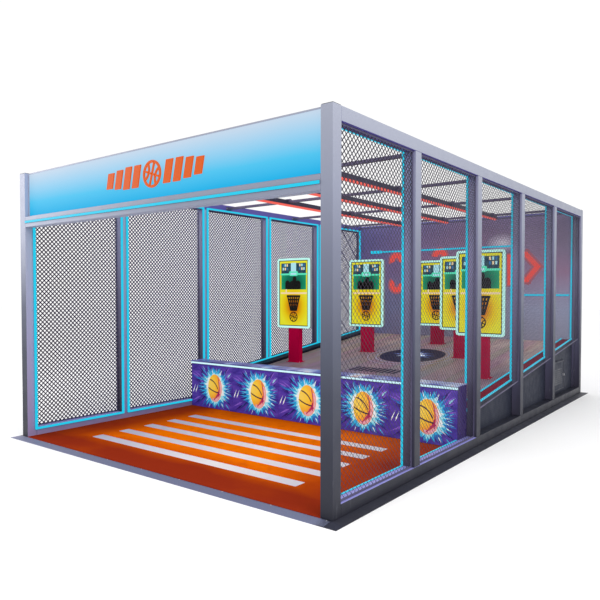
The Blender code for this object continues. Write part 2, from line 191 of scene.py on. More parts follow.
def place(name, mesh, body="cage", slot=None, edge=0.0, smooth=0.6):
    """Makes the object and puts it on its body; edge is the width of its bevel."""
    made = bpy.data.objects.new(name, mesh)
    bpy.context.scene.collection.objects.link(made)
    if smooth:
        mesh.shade_smooth()
        mesh.set_sharp_from_angle(angle=smooth)
    if edge:
        bevel = made.modifiers.new("Edges", "BEVEL")
        bevel.width = edge
        bevel.segments = 2
        bevel.limit_method = "ANGLE"
        bevel.harden_normals = True
    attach(made, body)
    return made


def rounded(x_low, x_high, z_low, z_high, radius, steps=6):
    """Outline of a rectangle with round corners, as (x, z) points."""
    points = []
    for x, z, turn in ((x_high, z_high, 0), (x_low, z_high, 1), (x_low, z_low, 2), (x_high, z_low, 3)):
        centre_x = x - radius if x == x_high else x + radius
        centre_z = z - radius if z == z_high else z + radius
        for step in range(steps + 1):
            angle = math.pi / 2 * (turn + step / steps)
            points.append((centre_x + radius * math.cos(angle), centre_z + radius * math.sin(angle)))
    return points


def arc(wide, tall, start, stop, steps):
    """Points along part of an ellipse, both ends included; angles in radians."""
    angles = [start + (stop - start) * step / steps for step in range(steps + 1)]
    return [(wide * math.cos(angle), tall * math.sin(angle)) for angle in angles]


def circle(wide, tall, count):
    return arc(wide, tall, 0.0, 2 * math.pi, count)[:-1]


def boxed(x_low, x_high, z_low, z_high):
    return [(x_low, z_low), (x_low, z_high), (x_high, z_high), (x_high, z_low)]


# ---------------------------------------------------------------- materials


class Surface:
    """A Principled material with short calls for the node chains that drive it."""

    def __init__(self, name, roughness=0.5, metallic=0.0, glow=None, power=0.0, shine=0.4):
        self.material = bpy.data.materials.new(name)
        self.material.use_nodes = True
        self.tree = self.material.node_tree
        self.shader = self.tree.nodes["Principled BSDF"]
        values = {"Roughness": roughness, "Metallic": metallic, "Specular IOR Level": shine}
        if glow:
            values.update({"Emission Color": (*glow, 1), "Emission Strength": power})
        for socket, value in values.items():
            self.shader.inputs[socket].default_value = value
        places = self.node("ShaderNodeTexCoord").outputs
        self.place, self.facing = places["Object"], places["Normal"]

    def node(self, kind, values=None, **settings):
        """Adds a node; values holds what goes into its inputs, sockets or constants."""
        made = self.tree.nodes.new(kind)
        for name, value in settings.items():
            setattr(made, name, value)
        for name, value in (values or {}).items():
            self.feed(made.inputs[name], value)
        return made

    def feed(self, target, source):
        if isinstance(source, bpy.types.NodeSocket):
            self.tree.links.new(source, target)
        else:
            target.default_value = source

    def scaled(self, scale, turn=(0, 0, 0)):
        values = {"Vector": self.place, "Scale": scale, "Rotation": turn}
        return self.node("ShaderNodeMapping", values).outputs["Vector"]

    def noise(self, scale, detail=3.0, vector=None, distortion=0.0):
        values = {"Vector": vector or self.place, "Scale": scale, "Detail": detail, "Distortion": distortion}
        return self.node("ShaderNodeTexNoise", values).outputs["Fac"]

    def wave(self, scale, distortion=0.0):
        values = {"Vector": self.place, "Scale": scale, "Distortion": distortion, "Detail Scale": 2.0}
        return self.node("ShaderNodeTexWave", values, bands_direction="Z").outputs["Fac"]

    def lines(self, pitch):
        """Level lines at a pitch in metres."""
        return self.wave(math.pi / (10 * pitch))

    def cells(self, scale, vector=None, output="Distance"):
        values = {"Vector": vector or self.place, "Scale": scale}
        return self.node("ShaderNodeTexVoronoi", values).outputs[output]

    def axis(self, name, source=None):
        return self.node("ShaderNodeSeparateXYZ", {"Vector": source or self.place}).outputs[name]

    def maths(self, operation, one, two=0.0, three=0.0):
        return self.node("ShaderNodeMath", {0: one, 1: two, 2: three}, operation=operation).outputs[0]

    def above(self, source, limit):
        return self.maths("GREATER_THAN", source, limit)

    def below(self, source, limit):
        return self.maths("LESS_THAN", source, limit)

    def times(self, first, *others):
        for other in others:
            first = self.maths("MULTIPLY", first, other)
        return first

    def reach(self, name, source=None):
        """Distance to either side of the middle along an axis."""
        return self.maths("ABSOLUTE", self.axis(name, source))

    def drift(self, way, scale, amount):
        """A factor made uneven by large, soft noise."""
        lowered = self.maths("SUBTRACT", way, amount / 2)
        return self.maths("MULTIPLY_ADD", self.noise(scale, 2.0), amount, lowered)

    def span(self, source, low, high, to_low=0.0, to_high=1.0):
        values = {"Value": source, "From Min": low, "From Max": high, "To Min": to_low, "To Max": to_high}
        return self.node("ShaderNodeMapRange", values).outputs["Result"]

    def ramp(self, source, stops):
        """Colours along a factor: stops holds (position, colour)."""
        made = self.node("ShaderNodeValToRGB", {"Fac": source})
        elements = made.color_ramp.elements
        while len(elements) < len(stops):
            elements.new(0.5)
        for element, (position, colour) in zip(elements, stops):
            element.position = position
            element.color = (*colour, 1)
        return made.outputs["Color"]

    def mix(self, factor, one, two, blend="MIX"):
        one, two = [(*value, 1) if isinstance(value, tuple) else value for value in (one, two)]
        values = {"Factor": factor, 6: one, 7: two}
        return self.node("ShaderNodeMix", values, data_type="RGBA", blend_type=blend).outputs[2]

    def colour(self, source):
        self.feed(self.shader.inputs["Base Color"], source)

    def glowing(self, tone, power):
        """A colour of which one share is light from behind and the rest is the surface's own."""
        self.colour(self.mix(power, tone, (0.0, 0.0, 0.0)) if power else tone)
        if power:
            self.feed(self.shader.inputs["Emission Color"], tone)
            self.shader.inputs["Emission Strength"].default_value = power

    def rough(self, source, low, high):
        self.feed(self.shader.inputs["Roughness"], self.span(source, 0.3, 0.7, low, high))

    def finish(self, source, distance, strength=0.6):
        """Adds the bump and hands over the material."""
        made = self.node("ShaderNodeBump", {"Strength": strength, "Distance": distance, "Height": source})
        self.feed(self.shader.inputs["Normal"], made.outputs["Normal"])
        return self.material


def shades(colour, *amounts):
    return [tuple(min(1.0, part * amount) for part in colour) for amount in amounts]


def painted(name, colour, roughness=0.42, metallic=0.1, scuff=0.5, shine=0.25):
    """Powder coat: fine orange-peel bump, soft cloudy tone and a few dull scuffs."""
    made = Surface(name, roughness, metallic, shine=shine)
    dark, plain, light = shades(colour, 0.8, 1.0, 1.16)
    cloud = made.noise(2.6, 5.0)
    tone = made.ramp(cloud, [(0.3, dark), (0.52, plain), (0.75, light)])
    marks = made.span(made.noise(34, 6.0, made.scaled((1, 1, 0.25))), 0.66, 0.74)
    made.colour(made.mix(made.maths("MULTIPLY", marks, scuff), tone, shades(colour, 1.5)[0]))
    made.rough(made.noise(9, 4.0), roughness - 0.08, roughness + 0.12)
    return made.finish(made.noise(900, 2.0), 0.0004, 0.35)


def frame_outside(made, height, drift):
    """Painted shade on the faces that look out: dark slate near the floor, paler upwards and towards the left."""
    stops = [(0.0, (0.018, 0.019, 0.03)), (0.16, (0.025, 0.027, 0.045)), (0.3, (0.043, 0.048, 0.074)),
             (0.46, (0.088, 0.097, 0.142)), (0.66, (0.16, 0.173, 0.24)), (0.82, (0.232, 0.249, 0.328)),
             (1.0, (0.295, 0.314, 0.39))]
    pale = made.times(made.span(made.axis("X"), 0.4, -1.7, 0.0, 0.55), made.span(height, 0.5, 0.8))
    return made.mix(pale, made.ramp(drift, stops), (0.5, 0.52, 0.64))


def frame_inside(made, drift, rail):
    """Painted violet light on the faces that look into the cage or down: lavender, with a dark violet painted
    shade on those of the top rails.
    """
    stops = [(0.0, (0.3, 0.24, 0.43)), (0.35, (0.32, 0.31, 0.49)), (0.75, (0.34, 0.39, 0.52)),
             (1.0, (0.32, 0.37, 0.52))]
    raised = made.above(made.axis("Z"), rail[0].z - CONTACT)
    within = made.below(made.reach("Y"), rail[1].y + CONTACT)
    return made.mix(made.times(raised, within), made.ramp(drift, stops), (0.09, 0.075, 0.32))


def frame_coat():
    """Frame tubes, with light and shade painted by where a face looks: out, into the cage, up at a sill, or into a
    bay's opening.
    """
    made = Surface("frame_coat", 0.4, 0.05, shine=0.3)
    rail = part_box("side_top_rail_right")
    height = made.span(made.axis("Z"), 0.0, 2.75)
    drift = made.drift(height, 1.7, 0.03)
    upward = made.axis("Z", made.facing)
    inward = made.times(made.axis("X", made.facing), made.maths("SIGN", made.axis("X")))
    inward = made.below(made.maths("MINIMUM", inward, upward), -FLAT)
    tone = made.mix(inward, frame_outside(made, height, drift), frame_inside(made, drift, rail))
    # Painted blue light on upward faces low down in front of the ledges.
    sill = made.times(made.below(made.axis("Y"), LEDGE_FRONT), made.above(upward, FLAT),
                      made.below(made.axis("Z"), 0.3))
    tone = made.mix(sill, tone, (0.3, 0.3, 0.7))
    # Painted shade and violet light on faces that look along the wall into a bay's opening: dark low down, violet
    # higher up, strongest at the inner edge.
    reveal = made.times(made.above(made.reach("Y", made.facing), FLAT), made.below(made.reach("Y"), 3.25),
                        made.span(made.reach("X"), rail[0].x, rail[1].x, 1.0, 0.25))
    stops = [(0.0, (0.048, 0.044, 0.07)), (0.3, (0.11, 0.102, 0.18)), (0.7, (0.23, 0.215, 0.38)),
             (0.92, (0.28, 0.26, 0.45)), (1.0, (0.13, 0.115, 0.38))]
    tone = made.mix(reveal, tone, made.ramp(drift, stops))
    marks = made.span(made.noise(30, 6.0, made.scaled((1, 1, 0.2))), 0.66, 0.76, 0.0, 0.12)
    made.colour(made.mix(marks, tone, (0.36, 0.37, 0.44)))
    made.rough(made.noise(7, 4.0), 0.36, 0.52)
    return made.finish(made.noise(700, 2.0), 0.0004, 0.4)


def mesh_metal():
    """Galvanised strands with dull patches; painted violet light inside the left wall, grey on the right one."""
    made = Surface("mesh_metal", 0.45, 0.0, shine=0.06)
    patches = made.maths("MULTIPLY_ADD", made.noise(5, 4.0), 0.2, -0.1)
    along = made.maths("ADD", made.span(made.axis("Y"), -3.0, 1.5), patches)
    # Left wall: painted violet light, stronger towards the rear, on all faces but the outward ones, which are dark
    # grey.
    stops = [(0.0, (0.028, 0.02, 0.046)), (0.4, (0.028, 0.024, 0.11)), (1.0, (0.03, 0.03, 0.16))]
    outer = made.below(made.axis("X", made.facing), -FLAT)
    left = made.mix(outer, made.ramp(along, stops), (0.034, 0.032, 0.046))
    # Right wall: grey, lighter towards the rear and darker towards the top.
    stops = [(0.0, (0.045, 0.038, 0.056)), (0.5, (0.048, 0.042, 0.064)), (1.0, (0.075, 0.07, 0.098))]
    up = made.maths("ADD", made.span(made.axis("Z"), 1.9, 2.5), patches)
    right = made.mix(up, made.ramp(along, stops), (0.022, 0.02, 0.032))
    tone = made.mix(made.above(made.axis("X"), 0.0), left, right)
    made.colour(made.mix(0.15, tone, made.cells(160, output="Color"), "SOFT_LIGHT"))
    made.rough(made.noise(40, 3.0), 0.34, 0.55)
    return made.finish(made.noise(600, 2.0), 0.0003, 0.4)


def lit(name, colour, power, roughness=0.35):
    """A diffuser: even light, with a faint moulded grain in the plastic."""
    made = Surface(name, roughness, 0.0, colour, power, 0.15)
    dark, light = shades(colour, 0.05, 0.1)
    made.colour(made.ramp(made.noise(60, 3.0), [(0.2, dark), (0.8, light)]))
    return made.finish(made.wave(180, 0.4), 0.0003, 0.25)


def brushed(name, colour, roughness=0.3, stretch=(1, 40, 1), metallic=0.85):
    made = Surface(name, roughness, metallic)
    lines = made.noise(60, 4.0, made.scaled(stretch))
    made.colour(made.ramp(lines, [(0.25, shades(colour, 0.75)[0]), (0.75, shades(colour, 1.15)[0])]))
    made.rough(lines, roughness - 0.06, roughness + 0.14)
    return made.finish(lines, 0.0003, 0.35)


def rubber_mat():
    """Orange mat: bright where the stripes lie, darker and redder towards its edges, fine pebble grain."""
    made = Surface("mat_rubber", 0.62, shine=0.0)
    low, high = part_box("player_mat")
    far = made.span(made.axis("X"), 0.55, 1.6, 0.0, 0.9)
    for axis, near, edge, share in (
        ("X", -0.95, -1.6, 0.9), ("Y", low.y + 0.75, low.y + 0.25, 1.0), ("Y", high.y - 0.45, high.y, 0.5),
    ):
        far = made.maths("MAXIMUM", far, made.span(made.axis(axis), near, edge, 0.0, share))
    far = made.maths("ADD", far, made.span(made.noise(1.3, 3.0), 0.3, 0.7, -0.12, 0.12))
    stops = [(0.0, (0.88, 0.175, 0.001)), (0.35, (0.74, 0.125, 0.002)), (0.75, (0.4, 0.05, 0.004)),
             (1.0, (0.275, 0.026, 0.008))]
    dirt = made.span(made.noise(11, 6.0), 0.52, 0.8, 0.0, 0.3)
    made.colour(made.mix(dirt, made.ramp(far, stops), (0.3, 0.03, 0.01)))
    made.rough(made.noise(20, 4.0), 0.55, 0.8)
    return made.finish(made.cells(260), 0.0012, 0.45)


def wood_deck():
    """Boards: each with its own tone, long grain and pale wear; violet-grey in front and tan at the rear."""
    made = Surface("deck_wood", 0.42, shine=0.15)
    grain = made.noise(16, 7.0, made.scaled((1.0, 0.09, 0.2)), 1.6)
    board = made.cells(1.0, made.scaled((6.0, 0.001, 0.001)), output="Color")
    stops = [(0.25, (0.35, 0.25, 0.36)), (0.5, (0.53, 0.4, 0.55)), (0.75, (0.69, 0.56, 0.72))]
    tone = made.mix(0.25, made.ramp(grain, stops), board, "SOFT_LIGHT")
    tone = made.mix(made.span(made.noise(2.2, 6.0), 0.5, 0.75, 0.0, 0.45), tone, (0.8, 0.74, 0.93))
    stops = [(0.0, (0.44, 0.42, 0.46)), (0.35, (0.46, 0.44, 0.41)), (0.6, (0.68, 0.65, 0.48)),
             (0.85, (1.0, 0.97, 0.64))]
    along = made.span(made.axis("Y"), LEDGE_FRONT, LEDGE_REAR)
    made.colour(made.mix(1.0, tone, made.ramp(along, stops), "MULTIPLY"))
    made.rough(grain, 0.32, 0.5)
    return made.finish(made.noise(120, 3.0, made.scaled((1.0, 0.05, 0.2))), 0.0006, 0.3)


def lined_board(name, colour):
    """Panel with fine horizontal lines, and a soft change of tone."""
    made = Surface(name, 0.5, shine=0.08)
    lines = made.lines(0.02)
    dark, plain, light = shades(colour, 0.72, 1.0, 1.2)
    cloud = made.ramp(made.noise(1.1, 3.0), [(0.3, dark), (0.5, plain), (0.72, light)])
    made.colour(made.mix(made.span(lines, 0.0, 0.35, 0.35, 0.0), cloud, shades(colour, 0.45)[0]))
    made.rough(made.noise(12, 3.0), 0.42, 0.6)
    return made.finish(lines, 0.0006, 0.5)


def wall_print(low, high):
    """Back wall's printed board: mauve above, blue-grey below, bluer towards the left, with fine lines."""
    made = Surface("wall_board", 0.45, shine=0.12)
    height = made.drift(made.span(made.axis("Z"), 0.6, high.z), 0.9, 0.16)
    stops = [(0.0, (0.38, 0.37, 0.45)), (0.3, (0.42, 0.45, 0.62)), (0.43, (0.41, 0.37, 0.53)),
             (0.6, (0.4, 0.235, 0.36)), (0.8, (0.29, 0.185, 0.31)), (1.0, (0.22, 0.16, 0.32))]
    end = made.span(made.axis("X"), 0.1, low.x, 0.0, 0.7)
    glow = made.span(made.noise(0.8, 2.0, made.scaled((1, 1, 1.6))), 0.5, 0.68, 0.0, 0.45)
    tone = made.mix(end, made.ramp(height, stops), (0.13, 0.14, 0.42))
    tone = made.mix(glow, tone, (0.42, 0.33, 0.52))
    lines = made.lines(0.022)
    made.colour(made.mix(made.span(lines, 0.0, 0.35, 0.3, 0.0), tone, (0.12, 0.11, 0.21)))
    made.rough(made.noise(12, 3.0), 0.38, 0.55)
    return made.finish(lines, 0.0006, 0.5)


def plastic(name, colour, roughness=0.4, shine=0.2):
    """Moulded or printed plastic: soft cloudy tone and a fine grain."""
    made = Surface(name, roughness, shine=shine)
    dark, light = shades(colour, 0.82, 1.12)
    made.colour(made.ramp(made.noise(6, 4.0), [(0.3, dark), (0.7, light)]))
    made.rough(made.noise(18, 3.0), roughness - 0.06, roughness + 0.1)
    return made.finish(made.noise(500, 2.0), 0.0003, 0.3)


def printed(name, stops, scale, stretch=(1, 1, 1), turn=(0, 0, 0), glow=0.0, distortion=0.0):
    """Gloss print: a colour ramp over stretched noise, partly lit."""
    made = Surface(name, 0.3, shine=0.12)
    tone = made.ramp(made.noise(scale, 4.0, made.scaled(stretch, turn), distortion), stops)
    made.glowing(tone, glow)
    return made.finish(made.noise(300, 2.0), 0.0002, 0.2)


def graded(name, axis, low, high, stops, glow=0.0, roughness=0.25, cloud=0.06):
    """A colour change along one axis between two places, with slight unevenness."""
    made = Surface(name, roughness, shine=0.06)
    made.glowing(made.ramp(made.drift(made.span(made.axis(axis), low, high), 1.5, cloud), stops), glow)
    return made.finish(made.noise(200, 2.0), 0.0002, 0.15)


def radial(name, centre, reach, stops, glow=0.0, roughness=0.25, squeeze=(1, 1, 1)):
    """A colour change outwards from a point."""
    made = Surface(name, roughness, shine=0.12)
    scale = [part / reach for part in squeeze]
    shift = [-middle * part for middle, part in zip(centre, scale)]
    place = made.node("ShaderNodeMapping", {"Vector": made.place, "Scale": scale, "Location": shift})
    length = made.node("ShaderNodeVectorMath", {0: place.outputs["Vector"]}, operation="LENGTH")
    uneven = made.maths("MULTIPLY_ADD", made.noise(9, 3.0), 0.08, length.outputs["Value"])
    made.glowing(made.ramp(uneven, stops), glow)
    return made.finish(made.noise(300, 2.0), 0.0002, 0.15)


# ---------------------------------------------------------------- the cage's parts


def dress(prefix, surface):
    """Gives CAD nodes whose name starts with the prefix their material."""
    for name, node in NODES.items():
        if name.startswith(prefix):
            node.data.materials.clear()
            node.data.materials.append(surface)


def top_edges(node):
    """Where a sloping node starts and ends along y, and the height of its top at both places."""
    points = [vertex.co for vertex in NODES[node].data.vertices]
    ends = [pick(point.y for point in points) for pick in (min, max)]
    return ends, [max(point.z for point in points if abs(point.y - end) < 0.001) for end in ends]


(LEDGE_FRONT, LEDGE_REAR), (LEDGE_START, LEDGE_STOP) = top_edges("side_ledge_left")
LEDGE_SLOPE = (LEDGE_STOP - LEDGE_START) / (LEDGE_REAR - LEDGE_FRONT)
DECK_START = top_edges("return_deck")[1][0]


def ledge_top(y):
    return LEDGE_START + LEDGE_SLOPE * (y - LEDGE_FRONT)


def on_deck(x, y, lift):
    """A point above the sloping deck, which runs parallel to the ledges."""
    return x, y, DECK_START + LEDGE_SLOPE * (y - LEDGE_FRONT) + lift


def evenly(first, last, count):
    return [first + (last - first) * number / (count - 1) for number in range(count)]


def bay_outline(name, index, margin):
    """Outline of a bay's opening as (y, z) points, drawn in by a margin; rear bays start on the ledge."""
    low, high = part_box(f"mesh_panel_{name}_{index}")
    start, stop, roof = low.y + margin, high.y - margin, high.z - margin
    if index <= CLOSED_BAYS:
        floors = (low.z + margin, low.z + margin)
    else:
        floors = (ledge_top(start) + margin, ledge_top(stop) + margin)
    return [(start, floors[0]), (stop, floors[1]), (stop, roof), (start, roof)]


def strand_half(name, z):
    """Half of a strand's height where it passes height z."""
    steep = math.hypot(HOLE_PITCH, HOLE_HEIGHT) / HOLE_PITCH / 2
    narrow, wide = [width * steep for width in STRAND_WIDTH[name]]
    share = (z - STRAND_RISE[0]) / (STRAND_RISE[1] - STRAND_RISE[0])
    return narrow + (wide - narrow) * min(1.0, max(0.0, share))


def strand(name, row, middle, start, stop, z_row):
    """Cross-sections of one zigzag strand, which leans a little so that its peaks pass the next one's."""
    step, edge = HOLE_PITCH / 2, STRAND_THICKNESS[name] / 2
    rings = []
    for column in range(int((stop - start) / step) + 1):
        z = z_row + HOLE_HEIGHT / 4 * (1 if (row + column) % 2 else -1)
        y, half = start + column * step, strand_half(name, z)
        corners = ((1, edge), (1, -edge), (-1, -edge), (-1, edge))
        rings.append([(middle + end * STRAND_TILT + out, y, z + end * half) for end, out in corners])
    return rings


def channel_screws(form, name, side, index, middle):
    """Screws at even distances round a panel's edge channel."""
    outline = bay_outline(name, index, CHANNEL_WIDTH / 2)
    for (a, b), (c, d) in zip(outline, outline[1:] + outline[:1]):
        count = max(2, round(math.hypot(c - a, d - b) / SCREW_PITCH))
        for number in range(count):
            share = (number + 0.5) / count
            point = (middle - side * CHANNEL_HALF, a + (c - a) * share, b + (d - b) * share)
            form.bolt(point, (-side, 0, 0), 0.0032, 2)


def build_mesh(name, side, index, made):
    """Expanded-metal panel: rows of zigzag strands that meet at their peaks, in a screwed edge channel."""
    form = Form()
    node = f"mesh_panel_{name}_{index}"
    low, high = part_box(node)
    middle = (low.x + high.x) / 2
    row = 0
    z_row = low.z + HOLE_HEIGHT / 4
    while z_row < high.z:
        stop = high.y
        if index > CLOSED_BAYS:
            stop = min(stop, LEDGE_FRONT + (z_row - LEDGE_START) / LEDGE_SLOPE)
        rings = strand(name, row, middle, low.y, stop, z_row)
        if len(rings) > 1:
            form.skin(rings, False)
        z_row += HOLE_HEIGHT / 2
        row += 1
    pairs = zip(bay_outline(name, index, 0.0005), bay_outline(name, index, 0.0005 + CHANNEL_WIDTH))
    form.skin([ring_x(pair, middle - CHANNEL_HALF, middle + CHANNEL_HALF) for pair in pairs], True, 1)
    channel_screws(form, name, side, index, middle)
    surfaces = [made["strands"], made["channel"], made["screw"]]
    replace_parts(form.piece(f"mesh_{name}_{index}", surfaces, slot="mesh_steel", smooth=0.5), node)


def ring_x(pair, near, far):
    """Cross-section of a frame round a bay between an outer and an inner (y, z) point."""
    (a, b), (c, d) = pair
    return [(near, a, b), (near, c, d), (far, c, d), (far, a, b)]


def strip_corners(name, index):
    """Corners of a bay's strip as pairs of (y, z): on the opening's edge, and across the strip from it."""
    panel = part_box(f"mesh_panel_{name}_{index}")
    start, stop, floor, roof = panel[0].y, panel[1].y, panel[0].z, panel[1].z
    left, right = start - STRIP_WIDTH, stop + STRIP_WIDTH
    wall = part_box("back_wall_panel")[0].y - SEAT
    if right > wall:
        stop, right = wall - STRIP_WIDTH, wall
    top = [((start, roof), (left, roof + STRIP_WIDTH)), ((stop, roof), (right, roof + STRIP_WIDTH))]
    if index > CLOSED_BAYS:
        ends = [ledge_top(y) + LEDGE_STRIP + 0.001 for y in (start, stop)]
        return [((start, ends[0]), (left, ends[0]))] + top + [((stop, ends[1]), (right, ends[1]))]
    low = floor - STRIP_WIDTH
    if index < CLOSED_BAYS:
        return [((start, floor), (left, low))] + top + [((stop, floor), (right, low))]
    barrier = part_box("ball_barrier")
    edge, base = barrier[0].y - 0.015, barrier[1].z + 0.01
    corner = [((edge, floor), (edge, low)), ((start, floor), (left, low))]
    return corner + top + [((stop, base), (right, base))]


def build_bay_light(name, side, index, made):
    """Lighting strip round a bay's opening: a square diffuser on the frame's inner face, on a thin base."""
    form = Form()
    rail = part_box(f"side_top_rail_{name}")
    plane = (rail[1].x if side < 0 else rail[0].x) - side * SEAT
    for slot, trim, near, far in ((1, 0.0, 0.0, STRIP_BASE), (0, 0.0012, STRIP_BASE, STRIP_DEPTH)):
        rings = []
        for (a, b), (c, d) in strip_corners(name, index):
            in_y, in_z = trim * ((c > a) - (c < a)), trim * ((d > b) - (d < b))
            pair = (a + in_y, b + in_z), (c - in_y, d - in_z)
            rings.append(ring_x(pair, plane - side * near, plane - side * far))
        form.skin(rings, index < CLOSED_BAYS, slot)
    form.piece(f"bay_light_{name}_{index}", [made["cyan"], made["channel"]], slot="frame_steel", edge=0.0015)


def build_ledge_lights(name, side, made):
    """Lit lines that rise along the ledge: on the kick panel and, right, on the ledge's inner edge too."""
    kick_low, kick_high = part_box(f"kick_panel_{name}")
    lines = [((kick_low.x + kick_high.x) / 2, 0.008, LEDGE_STRIP)]
    if side > 0:
        lines.append((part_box(f"side_ledge_{name}")[0].x + 0.01, 0.009, 0.014))
    form = Form()
    run = LEDGE_REAR - LEDGE_FRONT
    for x, half, top in lines:
        lip = SEAT + STRIP_BASE
        for slot, wide, z_low, z_high in ((1, half, SEAT, lip), (0, half - 0.001, lip, top)):
            corners = ((-wide, z_low), (wide, z_low), (wide, z_high), (-wide, z_high))
            outline = [(x + a, LEDGE_FRONT, LEDGE_START + b) for a, b in corners]
            form.sweep(outline, (0, run, run * LEDGE_SLOPE), slot)
    form.piece(f"ledge_lights_{name}", [made["cyan"], made["channel"]], slot="ledge_vinyl", edge=0.001)


def lit_line(form, low, high, bottom, top, base, depth, trim):
    """A level diffuser on a thin base, on the front of a box: how far each stands out, and the base's rim."""
    form.box((low.x + 0.002, low.y - base, bottom), (high.x - 0.002, low.y - GAP, top), 1)
    form.box((low.x + 0.004, low.y - depth, bottom + trim), (high.x - 0.004, low.y - base, top - trim))


def build_header(made):
    """Light line in the header beam, and the frame and emblem of the sign above it."""
    low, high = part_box("header_beam")
    middle = (low.z + high.z) / 2
    form = Form()
    lit_line(form, low, high, middle - 0.014, middle + 0.014, 0.003, 0.008, 0.0025)
    form.piece("header_light", [made["cyan"], made["channel"]], slot="frame_steel", edge=0.0015)
    low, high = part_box("sign_light_box")
    face = low.y
    form = Form()
    outer = rounded(low.x + 0.001, high.x - 0.001, low.z, high.z - 0.001, 0.004, 2)
    inner = rounded(low.x + 0.013, high.x - 0.013, low.z + 0.012, high.z - 0.013, 0.004, 2)
    form.window(outer, inner, face - 0.005, face - GAP)
    for side in (-1, 1):
        for z in evenly(low.z + 0.03, high.z - 0.03, 3):
            form.bolt((side * (high.x - 0.007), face - 0.005, z), (0, -1, 0), 0.003, 1)
    form.piece("sign_frame", [made["frame"], made["screw"]], slot="frame_steel", edge=0.0008)
    build_emblem(face, (low.z + high.z) / 2 - 0.012, made["orange"])


def build_emblem(face, z, orange):
    """Raised emblem right of the middle: a ball between slanted bars that get shorter outwards."""
    form = Form()
    centre, height, thick = 0.11, 0.19, 0.012
    front = face - thick
    build_ball_icon(form, (centre, front, z), 0.112, thick - GAP)
    for side in (-1, 1):
        for number, share in enumerate((1.0, 1.0, 0.86, 0.72)):
            tall = height * share / 2
            outline = slanted(centre + side * (0.205 + 0.122 * number), z, 0.085, tall, tall * 0.22)
            form.upright(outline, front, thick - GAP)
    form.piece("sign_emblem", [orange], slot="sign_acrylic", edge=0.0015, smooth=0.5)


def slanted(x, z, wide, tall, lean):
    """Outline of a bar that leans to the right; tall is half of its height."""
    half = wide / 2
    points = [(-half - lean, -tall), (half - lean, -tall), (half + lean, tall), (-half + lean, tall)]
    return moved(points, x, z)


def moved(points, x, z):
    return [(x + a, z + b) for a, b in points]


def arc_band(centre, radius, width, start, stop, steps=14):
    """Outline of a curved band, as (x, z) points round a centre."""
    far, near = radius + width / 2, radius - width / 2
    return moved(arc(far, far, start, stop, steps) + arc(near, near, start, stop, steps)[::-1], *centre)


def ring_band(radius, width, steps, centre=(0, 0)):
    return arc_band(centre, radius, width, 0, NEARLY_ROUND, steps)


def build_ball_icon(form, centre, radius, depth, slot=0):
    """Ball as a pictogram: a rim, two straight seams and two curved ones."""
    bands = [ring_band(0.93 * radius, 0.2 * radius, 40)]
    for side, turn in ((-1, 0.0), (1, math.pi)):
        centre_x = side * 1.25 * radius
        bands.append(arc_band((centre_x, 0), 0.86 * radius, 0.17 * radius, turn - 0.8, turn + 0.8))
    half, reach = 0.085 * radius, 0.93 * radius
    bands += [boxed(-reach, reach, -half, half), boxed(-half, half, -reach, reach)]
    cos, sin = math.cos(math.radians(-18)), math.sin(math.radians(-18))
    for band in bands:
        turned = [(a * cos - b * sin, a * sin + b * cos) for a, b in band]
        form.upright(moved(turned, centre[0], centre[2]), centre[1], depth, slot)


def build_mat(stripe):
    """Five pale stripes let into the mat."""
    low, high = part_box("player_mat")
    form = Form()
    for number in range(5):
        y = low.y + 0.41 + 0.328 * number
        form.level(rounded(-STRIPE_REACH, STRIPE_REACH, y, y + 0.125, 0.006, 3), high.z - 0.001, 0.0018)
    form.piece("mat_stripes", [stripe], slot="mat_rubber", edge=0.0005)


def build_ramp(rib, screw):
    """Anti-slip ribs and screws on the sloping front edge."""
    low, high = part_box("entry_ramp")
    form = Form()
    run = high.y - low.y
    fall = (high.z - 0.003) / run
    reach = high.x - 0.1
    profile = ((-0.003, -0.001), (0.003, -0.0006), (0.0022, 0.0016), (-0.0022, 0.0012))
    for number in range(6):
        y = low.y + run * (number + 0.8) / 7
        form.along_x(moved(profile, y, high.z - (high.y - y) * fall), -reach, 2 * reach)
    y = low.y + run * 0.93
    for x in evenly(0.03 - reach, reach - 0.03, 9):
        form.bolt((x, y, high.z - (high.y - y) * fall), (0, -fall, 1), 0.004, 1)
    form.piece("ramp_ribs", [rib, screw], slot="ramp_aluminium", smooth=0.5)


def burst_outline(centre, inner, outer, spikes, chance, squeeze=1.0):
    """A ragged star: spikes of uneven length round a circle, as (x, z) points."""
    points = []
    for number in range(spikes):
        angle = 2 * math.pi * (number + chance.uniform(-0.25, 0.25)) / spikes
        reach = outer * chance.uniform(0.62, 1.0) * (1.0 + 0.12 * math.cos(2 * angle))
        root = inner * chance.uniform(0.94, 1.05)
        for turn, radius in ((angle - math.pi / spikes, root), (angle, reach)):
            points.append((radius * math.cos(turn), radius * math.sin(turn) * squeeze))
    return moved(points, *centre)


def streak(form, x, z, length, width, angle, front, slot):
    """A pointed dash on an upright face."""
    along = Vector((math.cos(angle), math.sin(angle)))
    across = Vector((-along.y, along.x)) * width / 2
    ends = along * length / 2
    points = [-ends, -ends * 0.4 - across, ends, -ends * 0.4 + across]
    form.upright(moved(points, x, z), front, LAYER, slot)


def clipped(points, half_w, half_h):
    return [(max(-half_w, min(half_w, a)), max(-half_h, min(half_h, b))) for a, b in points]


def rays(form, chance, halves, front, count, near, far, lengths, widths, slots):
    """Dashes thrown outwards round the tile's burst, as far as they fit on the tile."""
    for _ in range(count):
        angle = chance.uniform(0, 2 * math.pi)
        reach = chance.uniform(near, far)
        run, rise = math.cos(angle) * 0.9, math.sin(angle)
        x, z = BURST[0] + reach * run, BURST[1] + reach * rise
        length, slope = chance.uniform(*lengths), math.atan2(rise, run)
        end_x = abs(x) + abs(math.cos(slope)) * length / 2
        end_z = abs(z) + abs(math.sin(slope)) * length / 2
        if end_x < halves[0] and end_z < halves[1]:
            streak(form, x, z, length, chance.uniform(*widths), slope, front, chance.choice(slots))


